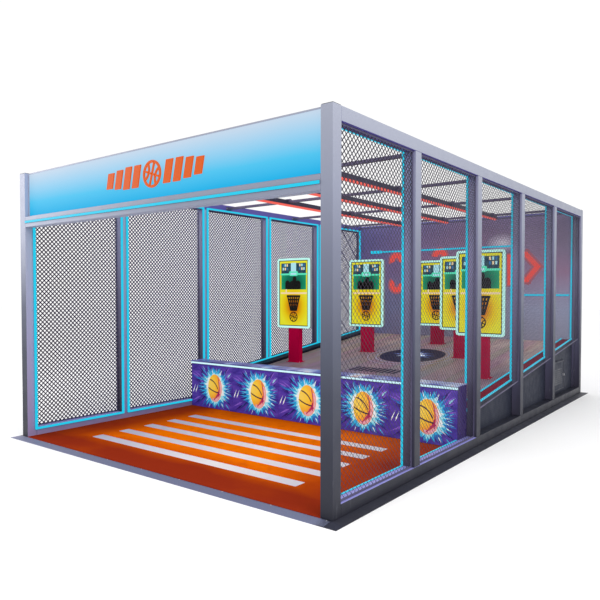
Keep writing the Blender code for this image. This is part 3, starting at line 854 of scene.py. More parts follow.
def barrier_tile(width, height):
    """One printed tile round its own centre: streaks, a light burst and a ball. Its front faces -Y."""
    chance = random.Random(7)
    form = Form()
    halves = width / 2 - 0.002, height / 2 - 0.002
    form.upright(rounded(-halves[0], halves[0], -halves[1], halves[1], 0.003, 2), 0.0, 0.0026)
    rays(form, chance, halves, -LAYER, 170, 0.24, 0.52, (0.1, 0.26), (0.014, 0.034), (1, 1, 2, 2, 2, 10))
    rays(form, chance, halves, -2 * LAYER, 60, 0.22, 0.36, (0.05, 0.14), (0.007, 0.013), (3, 3, 10, 4))
    stars = ((0.3, 0.19, 30, 10), (0.275, 0.178, 36, 3), (0.222, 0.16, 34, 4), (0.168, 0.149, 30, 5))
    for layer, (outer, inner, spikes, slot) in enumerate(stars, 3):
        points = burst_outline(BURST, inner, outer, spikes, chance, 1.2)
        form.upright(clipped(points, *halves), -layer * LAYER, LAYER * 0.9, slot)
    front = -7 * LAYER
    rays(form, chance, halves, front, 30, 0.18, 0.3, (0.04, 0.1), (0.005, 0.009), (5, 4))
    tile_ball(form, BURST, 0.155, front)
    for shift in (-0.024, 0.024):
        streak(form, 0.07 - halves[0] + shift, -0.045, 0.125, 0.014, math.radians(66), front, 5)
    return form


def seam(points, width, front, lift):
    """Rings of a ribbon on the ball's relief; points are shares of the radius round its centre."""
    rings = []
    last = len(points) - 1
    for index, (x, z) in enumerate(points):
        before, after = points[max(0, index - 1)], points[min(last, index + 1)]
        run = Vector((after[0] - before[0], after[1] - before[1]))
        taper = 0.45 if index in (0, last) else 1.0
        across = Vector((-run.y, run.x)).normalized() * width / 2 * taper
        y = front - 0.0086 * (1 - min(1.0, math.hypot(x, z)) ** 3) - lift
        corners = ((1, 0.0), (-1, 0.0), (-1, 0.0016), (1, 0.0016))
        rings.append([(x + side * across.x, y + back, z + side * across.y) for side, back in corners])
    return rings


def curve(start, bend, stop):
    """A smooth bend between two points."""
    shares = [step / 16 for step in range(17)]
    pairs = list(zip(start, bend, stop))
    return [tuple((1 - t) ** 2 * a + 2 * t * (1 - t) * b + t * t * c for a, b, c in pairs) for t in shares]


def tile_ball(form, centre, radius, front):
    """Low relief ball, taller than wide, with dark seams and a pink shade on its lower right."""
    wide, tall = 0.8 * radius, 1.14 * radius
    rings = []
    relief = ((1.0, 0.0), (0.96, 0.0022), (0.8, 0.0048), (0.5, 0.0072), (0.2, 0.0082), (0.02, 0.0084))
    for share, lift in relief:
        ring = moved(circle(wide * share, tall * share, 40), *centre)
        rings.append([(x, front - lift, z) for x, z in ring])
    form.skin(rings, False, 6)
    lines = [
        (arc(0.8, 0.8, math.radians(-112), math.radians(38), 20), 0.34, 8, 0.0008),
        (arc(0.66, 0.66, math.radians(-70), math.radians(-8), 10), 0.16, 9, 0.0014),
        (curve((-0.7, 0.6), (0.1, 0.55), (0.52, -0.06)), 0.08, 7, 0.002),
        (curve((-0.96, 0.02), (-0.1, -0.28), (0.6, -0.3)), 0.08, 7, 0.002),
        (curve((0.44, 0.84), (0.84, 0.2), (0.58, -0.72)), 0.08, 9, 0.002),
        (curve((-0.2, -0.94), (0.2, -0.62), (0.88, -0.36)), 0.08, 9, 0.002),
    ]
    for points, width, slot, lift in lines:
        rings = []
        for ring in seam(points, width, front, lift):
            rings.append([(centre[0] + x * wide, y, centre[1] + z * tall) for x, y, z in ring])
        form.skin(rings, False, slot)


def shared(stem, form, surfaces, slot):
    """Five objects with one mesh, made one after the other; the caller puts each in its place."""
    made = form.piece(f"{stem}_1", surfaces, slot=slot)
    yield made
    for number in FIVE[1:]:
        yield place(f"{stem}_{number}", made.data, slot=slot)


def build_barrier(prints, cap, made):
    """Five tiles in front, a rounded cap and a light line under it."""
    low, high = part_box("ball_barrier")
    width, height, top = (high.x - low.x - 0.02) / 5, high.z - low.z - 0.045, high.z
    tiles = shared("barrier_tile", barrier_tile(width, height), prints, "barrier_print")
    for number, tile in zip(FIVE, tiles):
        tile.location = ((number - 3) * width, low.y - 0.003, low.z + 0.008 + height / 2)
    form = Form()
    section = [(low.y - 0.008, top - 0.004), (low.y - 0.008, top + 0.004), (low.y - 0.004, top + 0.007)]
    section += [(high.y - 0.004, top + 0.007), (high.y, top + 0.004), (high.y, top + GAP), (low.y, top + GAP)]
    form.along_x(section, low.x + 0.001, high.x - low.x - 0.002)
    form.piece("barrier_cap", [cap], slot="barrier_print", edge=0.0012)
    form = Form()
    lit_line(form, low, high, top - 0.033, top - 0.006, 0.006, 0.013, 0.003)
    form.piece("barrier_light", [made["white"], made["channel"]], slot="barrier_print", edge=0.0015)


def display_form(width, height, thickness):
    """One display round the middle of its front face: housing, lit surround, glass and screen picture."""
    form = Form()
    half_w, half_h = width / 2, height / 2
    radius = 0.035

    def inset(margin, corner, steps=6):
        return rounded(margin - half_w, half_w - margin, margin - half_h, half_h - margin, corner, steps)

    form.upright(inset(0.004, radius - 0.004), 0.016, thickness - 0.018)
    form.window(inset(0.0, radius), inset(0.03, 0.005), 0.0, 0.02, 1)
    form.window(inset(0.03, 0.006), inset(0.041, 0.004), 0.004, 0.018, 2)
    form.upright(inset(0.041, 0.006, 3), GLASS, 0.007, 3)
    screen_fields(form, half_w - 0.068, half_h - 0.072)
    screen_net(form)
    for number in range(9):
        z = -half_h * 0.55 + number * 0.03
        form.box((-0.15, thickness - 0.003, z), (0.15, thickness, z + 0.012))
    for x in (0.05 - half_w, half_w - 0.05):
        for z in (0.05 - half_h, half_h - 0.05):
            form.bolt((x, thickness - 0.002, z), (0, 1, 0), 0.005, 2)
    return form


def flat(form, points, layer, slot):
    """One flat layer of the picture on a display's glass."""
    form.upright(points, GLASS - LAYER * layer, LAYER * 0.8, slot)


def bar(form, x_low, x_high, z_low, z_high, layer, slot, radius=0.004):
    flat(form, rounded(x_low, x_high, z_low, z_high, radius, 3), layer, slot)


def screen_fields(form, side, top):
    """A dark top field with a pale badge and dashes, and a green field with round figures below it."""
    line, green = top - 0.165, 0.055
    bar(form, -side, side, line, top, 1, 4)
    bar(form, -side, side, green, line, 1, 9)
    bar(form, -side - 0.012, side + 0.012, line - 0.013, line + 0.013, 2, 6)
    bar(form, -0.085, 0.085, line - 0.026, line + 0.048, 3, 6, 0.03)
    bar(form, -0.05, 0.05, line + 0.04, top + 0.004, 3, 5, 0.012)
    bar(form, -0.056, 0.056, line - 0.01, line + 0.02, 4, 5, 0.01)
    colours = (8, 5, 10)
    for turn in (-1, 1):
        for number in range(6):
            x = turn * (0.12 + number % 3 * 0.038)
            z = top - 0.03 - number // 3 * 0.055
            bar(form, x - 0.013, x + 0.013, z - 0.02, z + 0.02, 2, colours[(number - number // 3) % 3], 0.006)
    figures = ((-0.115, 0.042, 0.15), (-0.02, 0.062, 0.125), (0.085, 0.05, 0.14), (0.02, 0.036, 0.215))
    for x, radius, z in figures:
        layer = 2 if x < 0 else 3
        flat(form, ring_band(radius / 2, radius, 20, (x, z)), layer, 7)
        bar(form, x - radius, x + radius, green + 0.004, z, layer, 7)
    bar(form, -side - 0.012, side + 0.012, -0.012, 0.012, 1, 8)
    bar(form, -0.15, -0.128, -0.004, 0.062, 4, 8, 0.01)


def screen_net(form):
    """A net below its rim, and a ball."""
    rim, foot = -0.045, -0.255
    bar(form, -0.13, 0.13, rim - 0.015, rim + 0.015, 4, 7, 0.01)
    for x in evenly(-0.11, 0.11, 6):
        cord = [(x - 0.014, rim), (x + 0.014, rim), (x / 2 + 0.012, foot), (x / 2 - 0.012, foot)]
        flat(form, cord, 3, 7)
    for share in (0.25, 0.5, 0.75, 1.0):
        reach = 0.118 - 0.056 * share
        z = rim + (foot - rim) * share
        bar(form, -reach, reach, z - 0.011, z + 0.011, 2, 7)
    build_ball_icon(form, (0.0, GLASS - LAYER * 3, foot - 0.098), 0.074, LAYER * 0.8, 7)


def build_displays(surfaces, steel, screw):
    """The five displays share one mesh; each column gets its foot."""
    low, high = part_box("target_display_1")
    form = display_form(high.x - low.x, high.z - low.z, high.y - low.y)
    for number, display in zip(FIVE, shared("display", form, surfaces, "display_housing")):
        node = f"target_display_{number}"
        low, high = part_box(node)
        display.location = ((low.x + high.x) / 2, low.y, (low.z + high.z) / 2)
        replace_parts(display, node)
        build_column_foot(number, steel, screw)


def build_column_foot(number, steel, screw):
    """Flange with four screws where a display column stands on the deck, and two gussets behind it."""
    low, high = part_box(f"display_column_{number}")
    form = Form()
    x_low, x_high, y_low, y_high = low.x - 0.028, high.x + 0.028, low.y - 0.022, low.y + 0.11
    outline = [on_deck(x, y, 0.0031) for x, y in boxed(x_low, x_high, y_low, y_high)]
    form.sweep(outline, (0, 0, 0.006))
    for x in (x_low + 0.013, x_high - 0.013):
        for y in (y_low + 0.012, y_high - 0.012):
            form.bolt(on_deck(x, y, 0.0091), (0, -LEDGE_SLOPE, 1), 0.006, 1)
    y = low.y + 0.08 + GAP
    for x in (low.x + 0.02, high.x - 0.026):
        corner = on_deck(x, y, 0.0091)
        form.sweep([corner, on_deck(x, y + 0.026, 0.0091), (x, y, corner[2] + 0.055)], (0.006, 0, 0))
    form.piece(f"column_foot_{number}", [steel, screw], slot="column_steel", edge=0.0012)


def build_deck(boards, emblem, trim):
    """Rows of two boards with staggered joints, the emblem on them and an angle along the front edge."""
    count, reach = 18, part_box("side_ledge_right")[0].x - 0.004
    wide, start, run = 2 * reach / count, LEDGE_FRONT + 0.002, LEDGE_REAR - LEDGE_FRONT - 0.004
    form = Form()
    for number in range(count):
        x = -reach + wide * number
        cut = start + run * (0.35 if number % 2 else 0.68)
        for y_low, y_high in ((start, cut - 0.001), (cut + 0.001, start + run)):
            outline = boxed(x + 0.001, x + wide - 0.001, y_low, y_high)
            form.sweep([on_deck(a, b, GAP) for a, b in outline], (0, 0, 0.0027))
    form.piece("deck_boards", [boards], slot="deck_laminate", edge=0.0008)
    build_deck_emblem(emblem)
    form = Form()
    edge, top = LEDGE_FRONT + 0.0005, on_deck(0, LEDGE_FRONT + 0.003, 0.003)[2]
    form.box((-reach, edge, top - 0.045), (reach, LEDGE_FRONT + 0.004, top + 0.004))
    form.box((-reach, edge, top), (reach, LEDGE_FRONT + 0.026, top + 0.004))
    form.piece("deck_front_trim", [trim], slot="ramp_aluminium", edge=0.001)


def build_deck_emblem(surfaces):
    """A round field with two rings, a layered burst and a row of dashes in front of it."""
    centre_y = (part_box("target_display_2")[0].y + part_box("target_display_1")[0].y) / 2 + 0.495
    chance = random.Random(5)
    layers = [(circle(0.48, 0.48, 64), 0.0032, 0), (ring_band(0.535, 0.016, 64), 0.0032, 1)]
    layers.append((ring_band(0.655, 0.012, 64), 0.0032, 1))
    for outer, inner, spikes, slot, lift in (
        (0.33, 0.14, 14, 2, 0.0046), (0.27, 0.115, 12, 1, 0.0059), (0.24, 0.085, 10, 3, 0.0072),
    ):
        layers.append((burst_outline((0.0, 0.02), inner, outer, spikes, chance), lift, slot))
    for number in range(9):
        layers.append((slanted(-0.35 + 0.082 * number, -1.015, 0.055, 0.115, 0.0175), 0.0032, 0))
    form = Form()
    for points, lift, slot in layers:
        form.sweep([on_deck(a, b, lift) for a, b in moved(points, 0.03, centre_y)], (0, 0, 0.0012), slot)
    form.piece("deck_emblem", surfaces, slot="deck_laminate")


def build_wall_line(low, high, cyan):
    """Lit line on the back wall: along the top, down, and along towards the right."""
    form = Form()
    half, upper, lower = 0.013, 2.255, 1.48
    route = [(-1.52, upper), (0.96, upper), (0.96, lower), (high.x - 0.06, lower)]
    for (a, b), (c, d) in zip(route, route[1:]):
        start = (min(a, c) - half, low.y - 0.012, min(b, d) - half)
        form.box(start, (max(a, c) + half, low.y - SEAT, max(b, d) + half))
    form.box((-1.62, low.y - 0.014, upper - 0.026), (-1.4, low.y - SEAT, upper + 0.026))
    form.piece("wall_light_line", [cyan], slot="back_wall_board", edge=0.002)


def wide_line(start, stop, wide, share):
    """Outline of a straight stroke that runs a little past both ends; share makes it wider all round."""
    start, stop = Vector(start), Vector(stop)
    along = (stop - start).normalized()
    across = Vector((-along.y, along.x)) * wide / 2 * share
    more = along * wide * 0.4 * share
    return [start - more + across, stop + more + across, stop + more - across, start - more - across]


def build_wall_graphics(face, coral):
    """Arcs, an arrow and bars as flat strokes; the arcs and the arrow each have a paler and wider stroke behind
    them.
    """
    form = Form()

    def stroke(points, lift, slot):
        form.upright(points, face - lift, lift - SEAT, slot)

    for x, z, radius, start, stop in (
        (-1.09, 2.09, 0.09, -0.4, 3.5), (-1.09, 1.66, 0.095, 2.4, 6.6), (-0.26, 2.12, 0.095, 0.2, 3.0),
    ):
        stroke(arc_band((x, z), radius, 0.085, start, stop, 16), 0.006, 0)
        stroke(arc_band((x, z), radius, 0.15, start, stop, 16), 0.0025, 1)
    arrow = [(1.02, 2.12), (1.18, 2.12), (1.36, 1.92), (1.2, 1.72), (1.02, 1.7)]
    for route, wide in (([(0.92, 2.1), (0.93, 1.66)], 0.06), (arrow, 0.075)):
        for start, stop in zip(route, route[1:]):
            stroke(wide_line(start, stop, wide, 1.0), 0.006, 0)
            stroke(wide_line(start, stop, wide, 1.9), 0.0025, 1)
    for x, z, wide in ((-0.72, 1.93, 0.3), (-0.62, 1.83, 0.22), (-0.7, 1.73, 0.26)):
        stroke(slanted(x, z, wide - 0.03, 0.02, 0.015), 0.006, 0)
    form.piece("wall_graphics", coral, slot="back_wall_board")


def build_back_wall(coral, glow, made):
    low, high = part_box("back_wall_panel")
    face = low.y
    build_wall_line(low, high, made["cyan"])
    build_wall_graphics(face, coral)
    form = Form()
    form.upright(moved(circle(*GLOW_HALVES, 40), *GLOW_CENTRE), face - 0.003, 0.0026)
    form.piece("wall_glow_panel", [glow], slot="back_wall_board", edge=0.0012)
    form = Form()
    outlines = []
    for margin, top in ((0.002, 0.001), (0.022, 0.021)):
        left, right = low.x + margin, high.x - margin
        outlines.append([(left, 0.85), (left, high.z - top), (right, high.z - top), (right, 0.85)])
    form.window(*outlines, face - 0.004, face - GAP, closed=False)
    form.piece("wall_trim", [made["channel"]], slot="frame_steel", edge=0.001)
    build_battens(low, high, made)
    build_vent(low, made["dark"])
    build_inlet(made["dark"], made["screw"])


def build_battens(low, high, made):
    """Stiffening battens with screws on the wall's back."""
    form = Form()
    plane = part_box("rear_top_rail")[0].y
    profile = ((-0.03, 0), (-0.022, 0.028), (0.022, 0.028), (0.03, 0))
    for x in (-1.25, -0.42, 0.42, 1.25):
        form.level(moved(profile, x, plane), low.z + 0.06, high.z - low.z - 0.18)
        for z in evenly(low.z + 0.14, high.z - 0.2, 6):
            form.bolt((x, plane + 0.028 - GAP, z), (0, 1, 0), 0.006, 1)
    form.piece("rear_battens", [made["frame"], made["screw"]], slot="frame_steel", edge=0.0012)


def build_vent(low, dark):
    """Louvred vent on the wall's back."""
    form = Form()
    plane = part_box("rear_top_rail")[0].y
    left, right, floor = 0.55, 1.1, low.z + 0.2
    outer = rounded(left, right, floor, floor + 0.34, 0.012, 4)
    inner = rounded(left + 0.022, right - 0.022, floor + 0.022, floor + 0.318, 0.006, 4)
    form.window(outer, inner, plane, plane + 0.0087)
    louvre = ((0.0, 0.0), (0.0097, -0.01), (0.0117, -0.008), (0.0, 0.016))
    for number in range(10):
        form.along_x(moved(louvre, plane, floor + 0.035 + number * 0.028), left + 0.02, right - left - 0.04)
    form.piece("rear_vent", [dark], slot="back_wall_board", edge=0.0008)


def build_inlet(dark, screw):
    """Insert of the mains inlet: a rim in its pocket and three pins."""
    openings = frame["record"]["physics"]["openings"]
    pocket = [opening["box_m"] for opening in openings if opening["name"] == "inlet_pocket"][0]
    x, y, z = (pocket[0][0] + pocket[1][0]) / 2, pocket[0][1], (pocket[0][2] + pocket[1][2]) / 2
    form = Form()
    rim = moved(rounded(-0.03, 0.03, -0.022, 0.022, 0.006, 4), x, z)
    well = moved(rounded(-0.024, 0.024, -0.016, 0.016, 0.004, 4), x, z)
    form.window(rim, well, y - 0.0016, y + 0.018)
    for across, up in ((-0.013, -0.004), (0.0, 0.004), (0.013, -0.004)):
        a, b = x + across, z + up
        form.box((a - 0.002, y - 0.001, b - 0.004), (a + 0.002, y + 0.014, b + 0.004), 1)
    form.piece("mains_inlet", [dark, screw], slot="back_wall_board", edge=0.0006)


def build_light_bar(node, made, housing):
    """Housing with a round lens below and nine clips."""
    low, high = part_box(node)
    base = low.z + 0.014
    form = Form()
    wall = high.z - 0.006
    left = [(low.x + 0.004, base + 0.006), (low.x + 0.004, base), (low.x, base), (low.x, wall)]
    left.append((low.x + 0.006, high.z))
    right = [(low.x + high.x - x, z) for x, z in left[::-1]]
    form.upright(left + right, low.y, high.y - low.y)
    half = (high.x - low.x) / 2 - 0.005
    lens = arc(half, 0.026, math.pi, 2 * math.pi, 8) + [(half, 0.003), (-half, 0.003)]
    form.upright(moved(lens, (low.x + high.x) / 2, base + 0.002), low.y + 0.006, high.y - low.y - 0.012, 1)
    for number in range(1, 10):
        y = low.y + (high.y - low.y) * number / 10
        for x_low, x_high in ((low.x - 0.0015, low.x), (high.x, high.x + 0.0015)):
            form.box((x_low, y - 0.006, base - 0.001), (x_high, y + 0.006, high.z - 0.01))
    name = node.replace("light_bar", "roof_light")
    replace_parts(form.piece(name, [housing, made["red"]], slot="light_bar_housing", edge=0.001), node)


def build_brackets(made):
    """A plate with two screws and two gussets at each end of each cross beam."""
    form = Form()
    for number in range(1, 5):
        low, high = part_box(f"cross_beam_{number}")
        top = low.z + 0.03
        for side, end in ((-1, low.x), (1, high.x)):
            face = end - side * 0.004
            corner = (min(end, face), low.y - 0.028, low.z - 0.01)
            form.box(corner, (max(end, face), high.y + 0.028, top + 0.008))
            for y in (low.y - 0.015, high.y + 0.015):
                form.bolt((face, y, low.z + 0.015), (-side, 0, 0), 0.005, 1)
            tip = end - side * 0.075
            outline = [(face, low.z - 0.008), (tip, low.z + 0.004), (tip, top - 0.004), (face, top + 0.004)]
            for y in (low.y - 0.0033, high.y + GAP):
                form.upright(outline, y, 0.003)
    form.piece("beam_brackets", [made["channel"], made["screw"]], slot="beam_steel", edge=0.0008)


def build_roof(housing, made):
    for name in ("left", "centre", "right"):
        build_light_bar(f"light_bar_{name}", made, housing)
    build_brackets(made)


def build_frame_details(cap, gusset):
    """Caps on the corner posts, and gussets between the side posts and the top rails."""
    form = Form()
    for end in ("front", "rear"):
        for name, side in SIDES:
            low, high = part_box(f"corner_post_{end}_{name}")
            outline = rounded(low.x + 0.003, high.x - 0.003, low.y + 0.003, high.y - 0.003, 0.006, 3)
            form.level(outline, high.z + GAP, 0.003)
    form.piece("post_caps", [cap], slot="frame_steel", edge=0.001)
    form = Form()
    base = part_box("side_top_rail_left")[0].z - GAP
    for name, side in SIDES:
        for index in range(1, 5):
            low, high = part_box(f"side_post_{name}_{index}")
            x = low.x + 0.06 if side > 0 else high.x - 0.064
            for y, turn in ((low.y - GAP, -1), (high.y + GAP, 1)):
                form.along_x([(y, base), (y + turn * 0.045, base), (y, base - 0.045)], x, 0.004)
    form.piece("rail_gussets", [gusset], slot="frame_steel")


def build_corner_fillers(made):
    """Strips that close the slot between the back wall's end and each rear corner post."""
    wall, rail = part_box("back_wall_panel"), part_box("side_bottom_rail_right")
    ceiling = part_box("side_top_rail_right")[0].z
    form = Form()
    for name, side in SIDES:
        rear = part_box(f"corner_post_rear_{name}")[0].y
        near, far = side * (wall[1].x + 0.0011), side * (wall[1].x + 0.03)
        corner = (min(near, far), LEDGE_REAR + GAP, rail[1].z + 2 * GAP)
        form.box(corner, (max(near, far), rear - GAP, ceiling - 2 * GAP))
        for number in range(6):
            form.bolt((far, (LEDGE_REAR + rear) / 2, 0.35 + 0.4 * number), (side, 0, 0), 0.004, 1)
    form.piece("corner_fillers", [made["frame"], made["screw"]], slot="frame_steel", edge=0.001)


def build_door_details(sheet, made):
    """Pressed louvres, a raised border and screws on the service door, put on the door's body."""
    low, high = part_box("service_door")
    leaf = high.x - 0.002
    hinge = frame["joints"][0]["pos_m"][1]
    form = Form()
    louvre = ((0.0002, 0.0), (0.006, -0.007), (0.0075, -0.005), (0.0002, 0.012))
    for number in range(8):
        section = moved(louvre, leaf, low.z + 0.1 + number * 0.028)
        form.upright(section, low.y + 0.115, high.y - low.y - 0.23)
    start, stop, bottom, top = hinge + 0.075, high.y - 0.012, low.z + 0.012, high.z - 0.012
    for y_low, y_high, z_low, z_high in (
        (start, stop, bottom, bottom + 0.01), (start, stop, top - 0.01, top),
        (stop - 0.01, stop, bottom + 0.01, top - 0.01), (start, start + 0.01, bottom + 0.01, top - 0.01),
    ):
        form.box((leaf + CONTACT, y_low, z_low), (leaf + 0.003, y_high, z_high))
    for z in (low.z + 0.085, low.z + 0.115, high.z - 0.085, high.z - 0.115):
        form.bolt((high.x, hinge + 0.045, z), (1, 0, 0), 0.004, 1)
    form.piece("door_pressing", [sheet, made["screw"]], "door", slot="kick_sheet", edge=0.0008)


def build_cabinet(sheet, made):
    """The control cabinet's front with a row of slots and two locks."""
    low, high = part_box("control_cabinet")
    face = high.x
    form = Form()
    form.box((face + GAP, low.y + 0.012, low.z + 0.012), (face + 0.006, high.y - 0.012, high.z - 0.012))
    for number in range(7):
        z = high.z - 0.05 - number * 0.02
        form.box((face + 0.006, low.y + 0.06, z), (face + 0.009, high.y - 0.06, z + 0.008), 1)
    lock = [(0.013, 0), (0.013, 0.004), (0.01, 0.008), (0.004, 0.0085)]
    for y in (low.y + 0.05, high.y - 0.05):
        form.turned((face + 0.006, y, (low.z + high.z) / 2 - 0.05), (1, 0, 0), lock, 20, 2)
    form.piece("cabinet_door", [sheet, made["dark"], made["screw"]], slot="cabinet_steel", edge=0.001)


# ---------------------------------------------------------------- the whole


def dress_nodes(frame_metal):
    """Materials of the CAD nodes that stay as they are."""
    for prefix in ("corner_post", "side_post", "side_top_rail", "side_bottom_rail", "header_beam",
                   "rear_top_rail"):
        dress(prefix, frame_metal)
    dress("base_platform", painted("base_coat", (0.028, 0.029, 0.044), 0.5, 0.1))
    # Entry ramp: the paler, bluer tone towards the left is painted light, and the dark right end is the near
    # corner post's painted shadow.
    stops = [(0.0, (0.23, 0.24, 0.35)), (0.45, (0.15, 0.165, 0.27)), (0.955, (0.15, 0.165, 0.27)),
             (0.97, (0.035, 0.037, 0.055))]
    dress("entry_ramp", graded("ramp_metal", "X", -2.05, 2.05, stops, 0.0, 0.45, 0.02))
    dress("player_mat", rubber_mat())
    low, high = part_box("sign_light_box")
    stops = [(0.0, (0.002, 0.43, 0.8)), (0.33, (0.08, 0.55, 0.86)), (0.67, (0.33, 0.63, 0.86)),
             (1.0, (0.59, 0.69, 0.82))]
    dress("sign_light_box", graded("sign_face", "Z", low.z, high.z, stops, 0.92, 0.5))
    dress("cross_beam", painted("beam_paint", (0.105, 0.085, 0.15), 0.45, 0.3))
    dress("ball_barrier", painted("barrier_body", (0.05, 0.028, 0.16), 0.3, 0.1))
    dress("return_deck", plastic("deck_core", (0.1, 0.075, 0.07), 0.5))
    dress("side_ledge_right", plastic("ledge_vinyl", (0.21, 0.001, 0.016), 0.5, shine=0.03))
    dress("side_ledge_left", plastic("ledge_dark", (0.012, 0.014, 0.03), 0.5, shine=0.08))
    dress("kick_panel", lined_board("kick_sheet", (0.026, 0.03, 0.048)))
    dress("service_door", lined_board("door_sheet", (0.028, 0.032, 0.05)))
    dress("back_wall_panel", wall_print(*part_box("back_wall_panel")))
    dress("display_column", painted("column_paint", (0.52, 0.0005, 0.048), 0.5, 0.0, scuff=0.1, shine=0.02))
    dress("control_cabinet", painted("cabinet_paint", (0.3, 0.31, 0.33), 0.45, 0.4))
    hinge = brushed("hinge_metal", (0.52, 0.52, 0.55), 0.3, (1, 1, 40))
    dress("door_hinge_pin", hinge)
    dress("door_latch", hinge)


def make_surfaces():
    """Materials that several parts share."""
    return {
        "frame": frame_coat(),
        "strands": mesh_metal(),
        "channel": painted("channel_paint", (0.085, 0.078, 0.14), 0.45, scuff=0.2),
        "screw": brushed("screw_zinc", (0.62, 0.62, 0.65), 0.25, (8, 8, 8)),
        "cyan": lit("strip_cyan", (0.014, 0.62, 0.87), 0.9),
        "white": lit("strip_white", (0.62, 0.9, 1.0), 1.0),
        "orange": lit("emblem_orange", (0.74, 0.105, 0.001), 0.9),
        "red": lit("roof_glow", (0.95, 0.135, 0.105), 0.9),
        "dark": plastic("black_plastic", (0.022, 0.022, 0.028), 0.42),
    }


def barrier_prints():
    """Prints of a barrier tile, in the order of its material slots."""
    def flat_print(name, low, high, glow=0.0, scale=20.0):
        return printed(name, [(0.3, low), (0.7, high)], scale, glow=glow)

    violet = [(0.3, (0.045, 0.022, 0.26)), (0.5, (0.075, 0.04, 0.38)), (0.7, (0.13, 0.065, 0.48))]
    ball = [(0.0, (1.0, 0.72, 0.13)), (0.55, (1.0, 0.64, 0.055)), (0.85, (0.98, 0.46, 0.04)),
            (1.0, (0.92, 0.3, 0.05))]
    return [
        printed("print_violet", violet, 5.0, (1, 1, 3), (0, 0.9, 0), 0.3, 0.8),
        flat_print("print_indigo", (0.022, 0.01, 0.15), (0.04, 0.02, 0.22), 0.2),
        flat_print("print_lilac", (0.17, 0.075, 0.54), (0.3, 0.15, 0.68), 0.4),
        flat_print("print_cyan", (0.015, 0.35, 0.72), (0.06, 0.56, 0.86), 0.5, 14.0),
        flat_print("print_pale", (0.25, 0.76, 0.9), (0.48, 0.86, 0.94), 0.5, 14.0),
        flat_print("print_white", (0.85, 0.92, 0.95), (0.95, 0.97, 0.98), 0.5, 14.0),
        radial("print_ball", (-0.03, 0, 0.03), 0.2, ball, 0.5),
        flat_print("print_seam", (0.045, 0.012, 0.055), (0.075, 0.02, 0.08)),
        flat_print("print_pink", (0.84, 0.3, 0.4), (0.94, 0.52, 0.58), 0.4),
        flat_print("print_magenta", (0.45, 0.02, 0.1), (0.6, 0.05, 0.16), 0.3),
        flat_print("print_blue", (0.02, 0.11, 0.48), (0.045, 0.22, 0.64), 0.3),
    ]


def display_surfaces(dark):
    """Surfaces of a display, in the order of its material slots."""
    yellow = [(0.0, (0.36, 0.07, 0.001)), (0.35, (0.62, 0.2, 0.001)), (0.68, (0.78, 0.56, 0.004)),
              (1.0, (0.77, 0.73, 0.025))]
    navy = [(0.35, (0.008, 0.035, 0.08)), (0.55, (0.02, 0.08, 0.1)), (0.7, (0.14, 0.12, 0.05))]
    green = [(0.0, (0.004, 0.06, 0.04)), (0.55, (0.004, 0.15, 0.085)), (1.0, (0.01, 0.33, 0.15))]
    return [
        plastic("display_shell", (0.3, 0.31, 0.36), 0.45),
        lit("display_glow", (0.5, 0.9, 0.82), 1.0, 0.3),
        dark,
        radial("screen_yellow", (0, 0, -0.19), 0.35, yellow, 0.9, 0.12, (1.25, 0.1, 1.05)),
        printed("screen_navy", navy, 18.0, glow=0.85),
        lit("screen_pale", (0.42, 0.78, 0.86), 0.9, 0.15),
        lit("screen_mint", (0.1, 0.8, 0.5), 0.9, 0.15),
        printed("screen_black", [(0.3, (0.004, 0.005, 0.004)), (0.7, (0.012, 0.014, 0.01))], 30.0),
        lit("screen_blush", (0.9, 0.7, 0.42), 0.9, 0.15),
        radial("screen_green", (0, 0, 0.14), 0.26, green, 0.85, 0.12),
        lit("screen_blue", (0.03, 0.16, 0.4), 0.9, 0.15),
    ]


def build_front(made):
    """Header, mat, ramp and barrier."""
    build_header(made)
    stops = [(0.0, (0.48, 0.47, 0.58)), (0.35, (0.64, 0.61, 0.67)), (0.65, (0.8, 0.74, 0.76)),
             (1.0, (0.62, 0.58, 0.64))]
    build_mat(graded("mat_line", "X", -STRIPE_REACH, STRIPE_REACH, stops, 0.0, 0.6))
    build_ramp(brushed("ramp_rib", (0.18, 0.2, 0.31), 0.36, (60, 1, 1), 0.4), made["screw"])
    # Barrier cap: its cloudy bands from dark violet through pale blue to peach are painted reflections, partly
    # glowing.
    stops = [(0.38, (0.07, 0.06, 0.27)), (0.5, (0.15, 0.17, 0.48)), (0.6, (0.48, 0.56, 0.78)),
             (0.68, (0.74, 0.42, 0.3))]
    build_barrier(barrier_prints(), printed("cap_painted_reflections", stops, 2.6, (1, 0.5, 1), glow=0.3), made)


def build_rear(made):
    """Displays, deck and back wall."""
    build_displays(display_surfaces(made["dark"]), NODES["display_column_1"].data.materials[0], made["screw"])
    emblem = [
        plastic("emblem_navy", (0.014, 0.015, 0.05), 0.5, shine=0.08),
        plastic("emblem_pale", (0.4, 0.42, 0.62), 0.4),
        lit("emblem_blue", (0.06, 0.12, 0.42), 0.9),
        lit("emblem_white", (0.8, 0.92, 1.00), 1.1),
    ]
    build_deck(wood_deck(), emblem, made["channel"])
    coral = [lit("wall_coral", (0.86, 0.09, 0.07), 0.85), lit("wall_blush", (0.42, 0.125, 0.165), 0.8)]
    stops = [(0.0, (0.8, 0.76, 0.84)), (0.45, (0.52, 0.45, 0.58)), (1.0, (0.23, 0.16, 0.27))]
    centre = (GLOW_CENTRE[0], 0, GLOW_CENTRE[1])
    glow = radial("wall_glow", centre, GLOW_HALVES[0], stops, 0.25, 0.45, (1.0, 0.0, 1.76))
    build_back_wall(coral, glow, made)


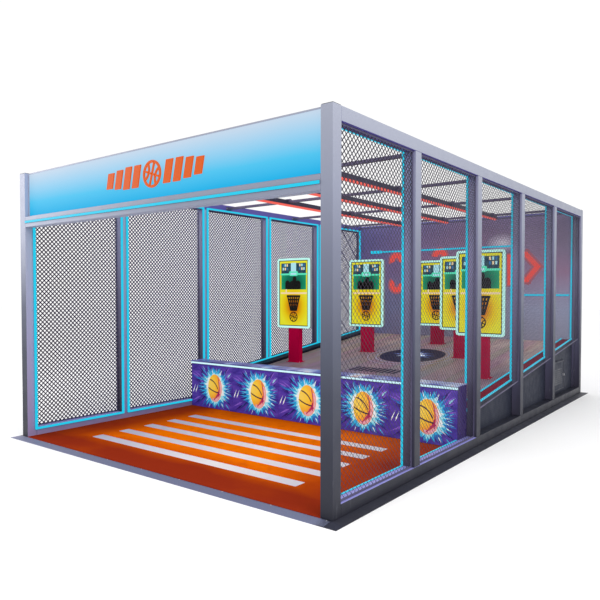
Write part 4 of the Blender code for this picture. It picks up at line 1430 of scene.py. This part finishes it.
def build_cage():
    made = make_surfaces()
    dress_nodes(made["frame"])
    for name, side in SIDES:
        for index in FIVE:
            build_mesh(name, side, index, made)
            build_bay_light(name, side, index, made)
        build_ledge_lights(name, side, made)
    build_front(made)
    build_rear(made)
    build_roof(painted("roof_light_shell", (0.03, 0.026, 0.055), 0.4, 0.3), made)
    build_frame_details(made["dark"], made["frame"])
    build_corner_fillers(made)
    trim = painted("door_trim", (0.034, 0.038, 0.056), 0.42)
    build_door_details(trim, made)
    build_cabinet(trim, made)


def build_floor():
    """A pale, plain studio floor under the cage."""
    surface = Surface("studio_floor", 0.8)
    tones = [(0.2, (0.975, 0.975, 0.98)), (0.8, (0.99, 0.99, 0.99))]
    surface.colour(surface.ramp(surface.noise(0.4, 2.0), tones))
    form = Form()
    form.box((-60, -60, -0.05), (60, 60, -CONTACT))
    mesh = bpy.data.meshes.new("floor")
    form.mesh.to_mesh(mesh)
    form.mesh.free()
    mesh.materials.append(surface.material)
    floor = bpy.data.objects.new("floor", mesh)
    bpy.context.scene.collection.objects.link(floor)


def area_light(name, location, target, size, power, colour):
    data = bpy.data.lights.new(name, "AREA")
    data.shape = "RECTANGLE"
    data.size, data.size_y = size
    data.energy = power
    data.color = colour
    lamp = bpy.data.objects.new(name, data)
    lamp.location = location
    lamp.rotation_euler = (Vector(target) - Vector(location)).to_track_quat("-Z", "Y").to_euler()
    bpy.context.scene.collection.objects.link(lamp)


def build_light():
    scene = bpy.context.scene
    scene.view_settings.view_transform = "Standard"
    world = bpy.data.worlds.new("studio")
    world.use_nodes = True
    world.node_tree.nodes["Background"].inputs["Color"].default_value = (1.0, 1.0, 1.0, 1)
    world.node_tree.nodes["Background"].inputs["Strength"].default_value = 1.03
    scene.world = world
    area_light("key", (7.5, -5.0, 5.5), (0, -1.0, 1.2), (4, 4), 280, (1.0, 0.98, 0.97))
    area_light("fill", (-6.0, -5.0, 4.0), (0, 0, 1.2), (4, 4), 120, (0.93, 0.96, 1.0))


def build_camera():
    data = bpy.data.cameras.new("camera")
    data.lens = 36.646
    data.shift_y = 0.0165
    camera = bpy.data.objects.new("camera", data)
    camera.location = (4.221, -6.563, 1.515)
    camera.rotation_euler = (math.radians(88.398), 0, math.radians(37.634))
    bpy.context.scene.collection.objects.link(camera)
    bpy.context.scene.camera = camera


build_cage()
build_floor()
build_light()
build_camera()

bpy.context.view_layer.update()
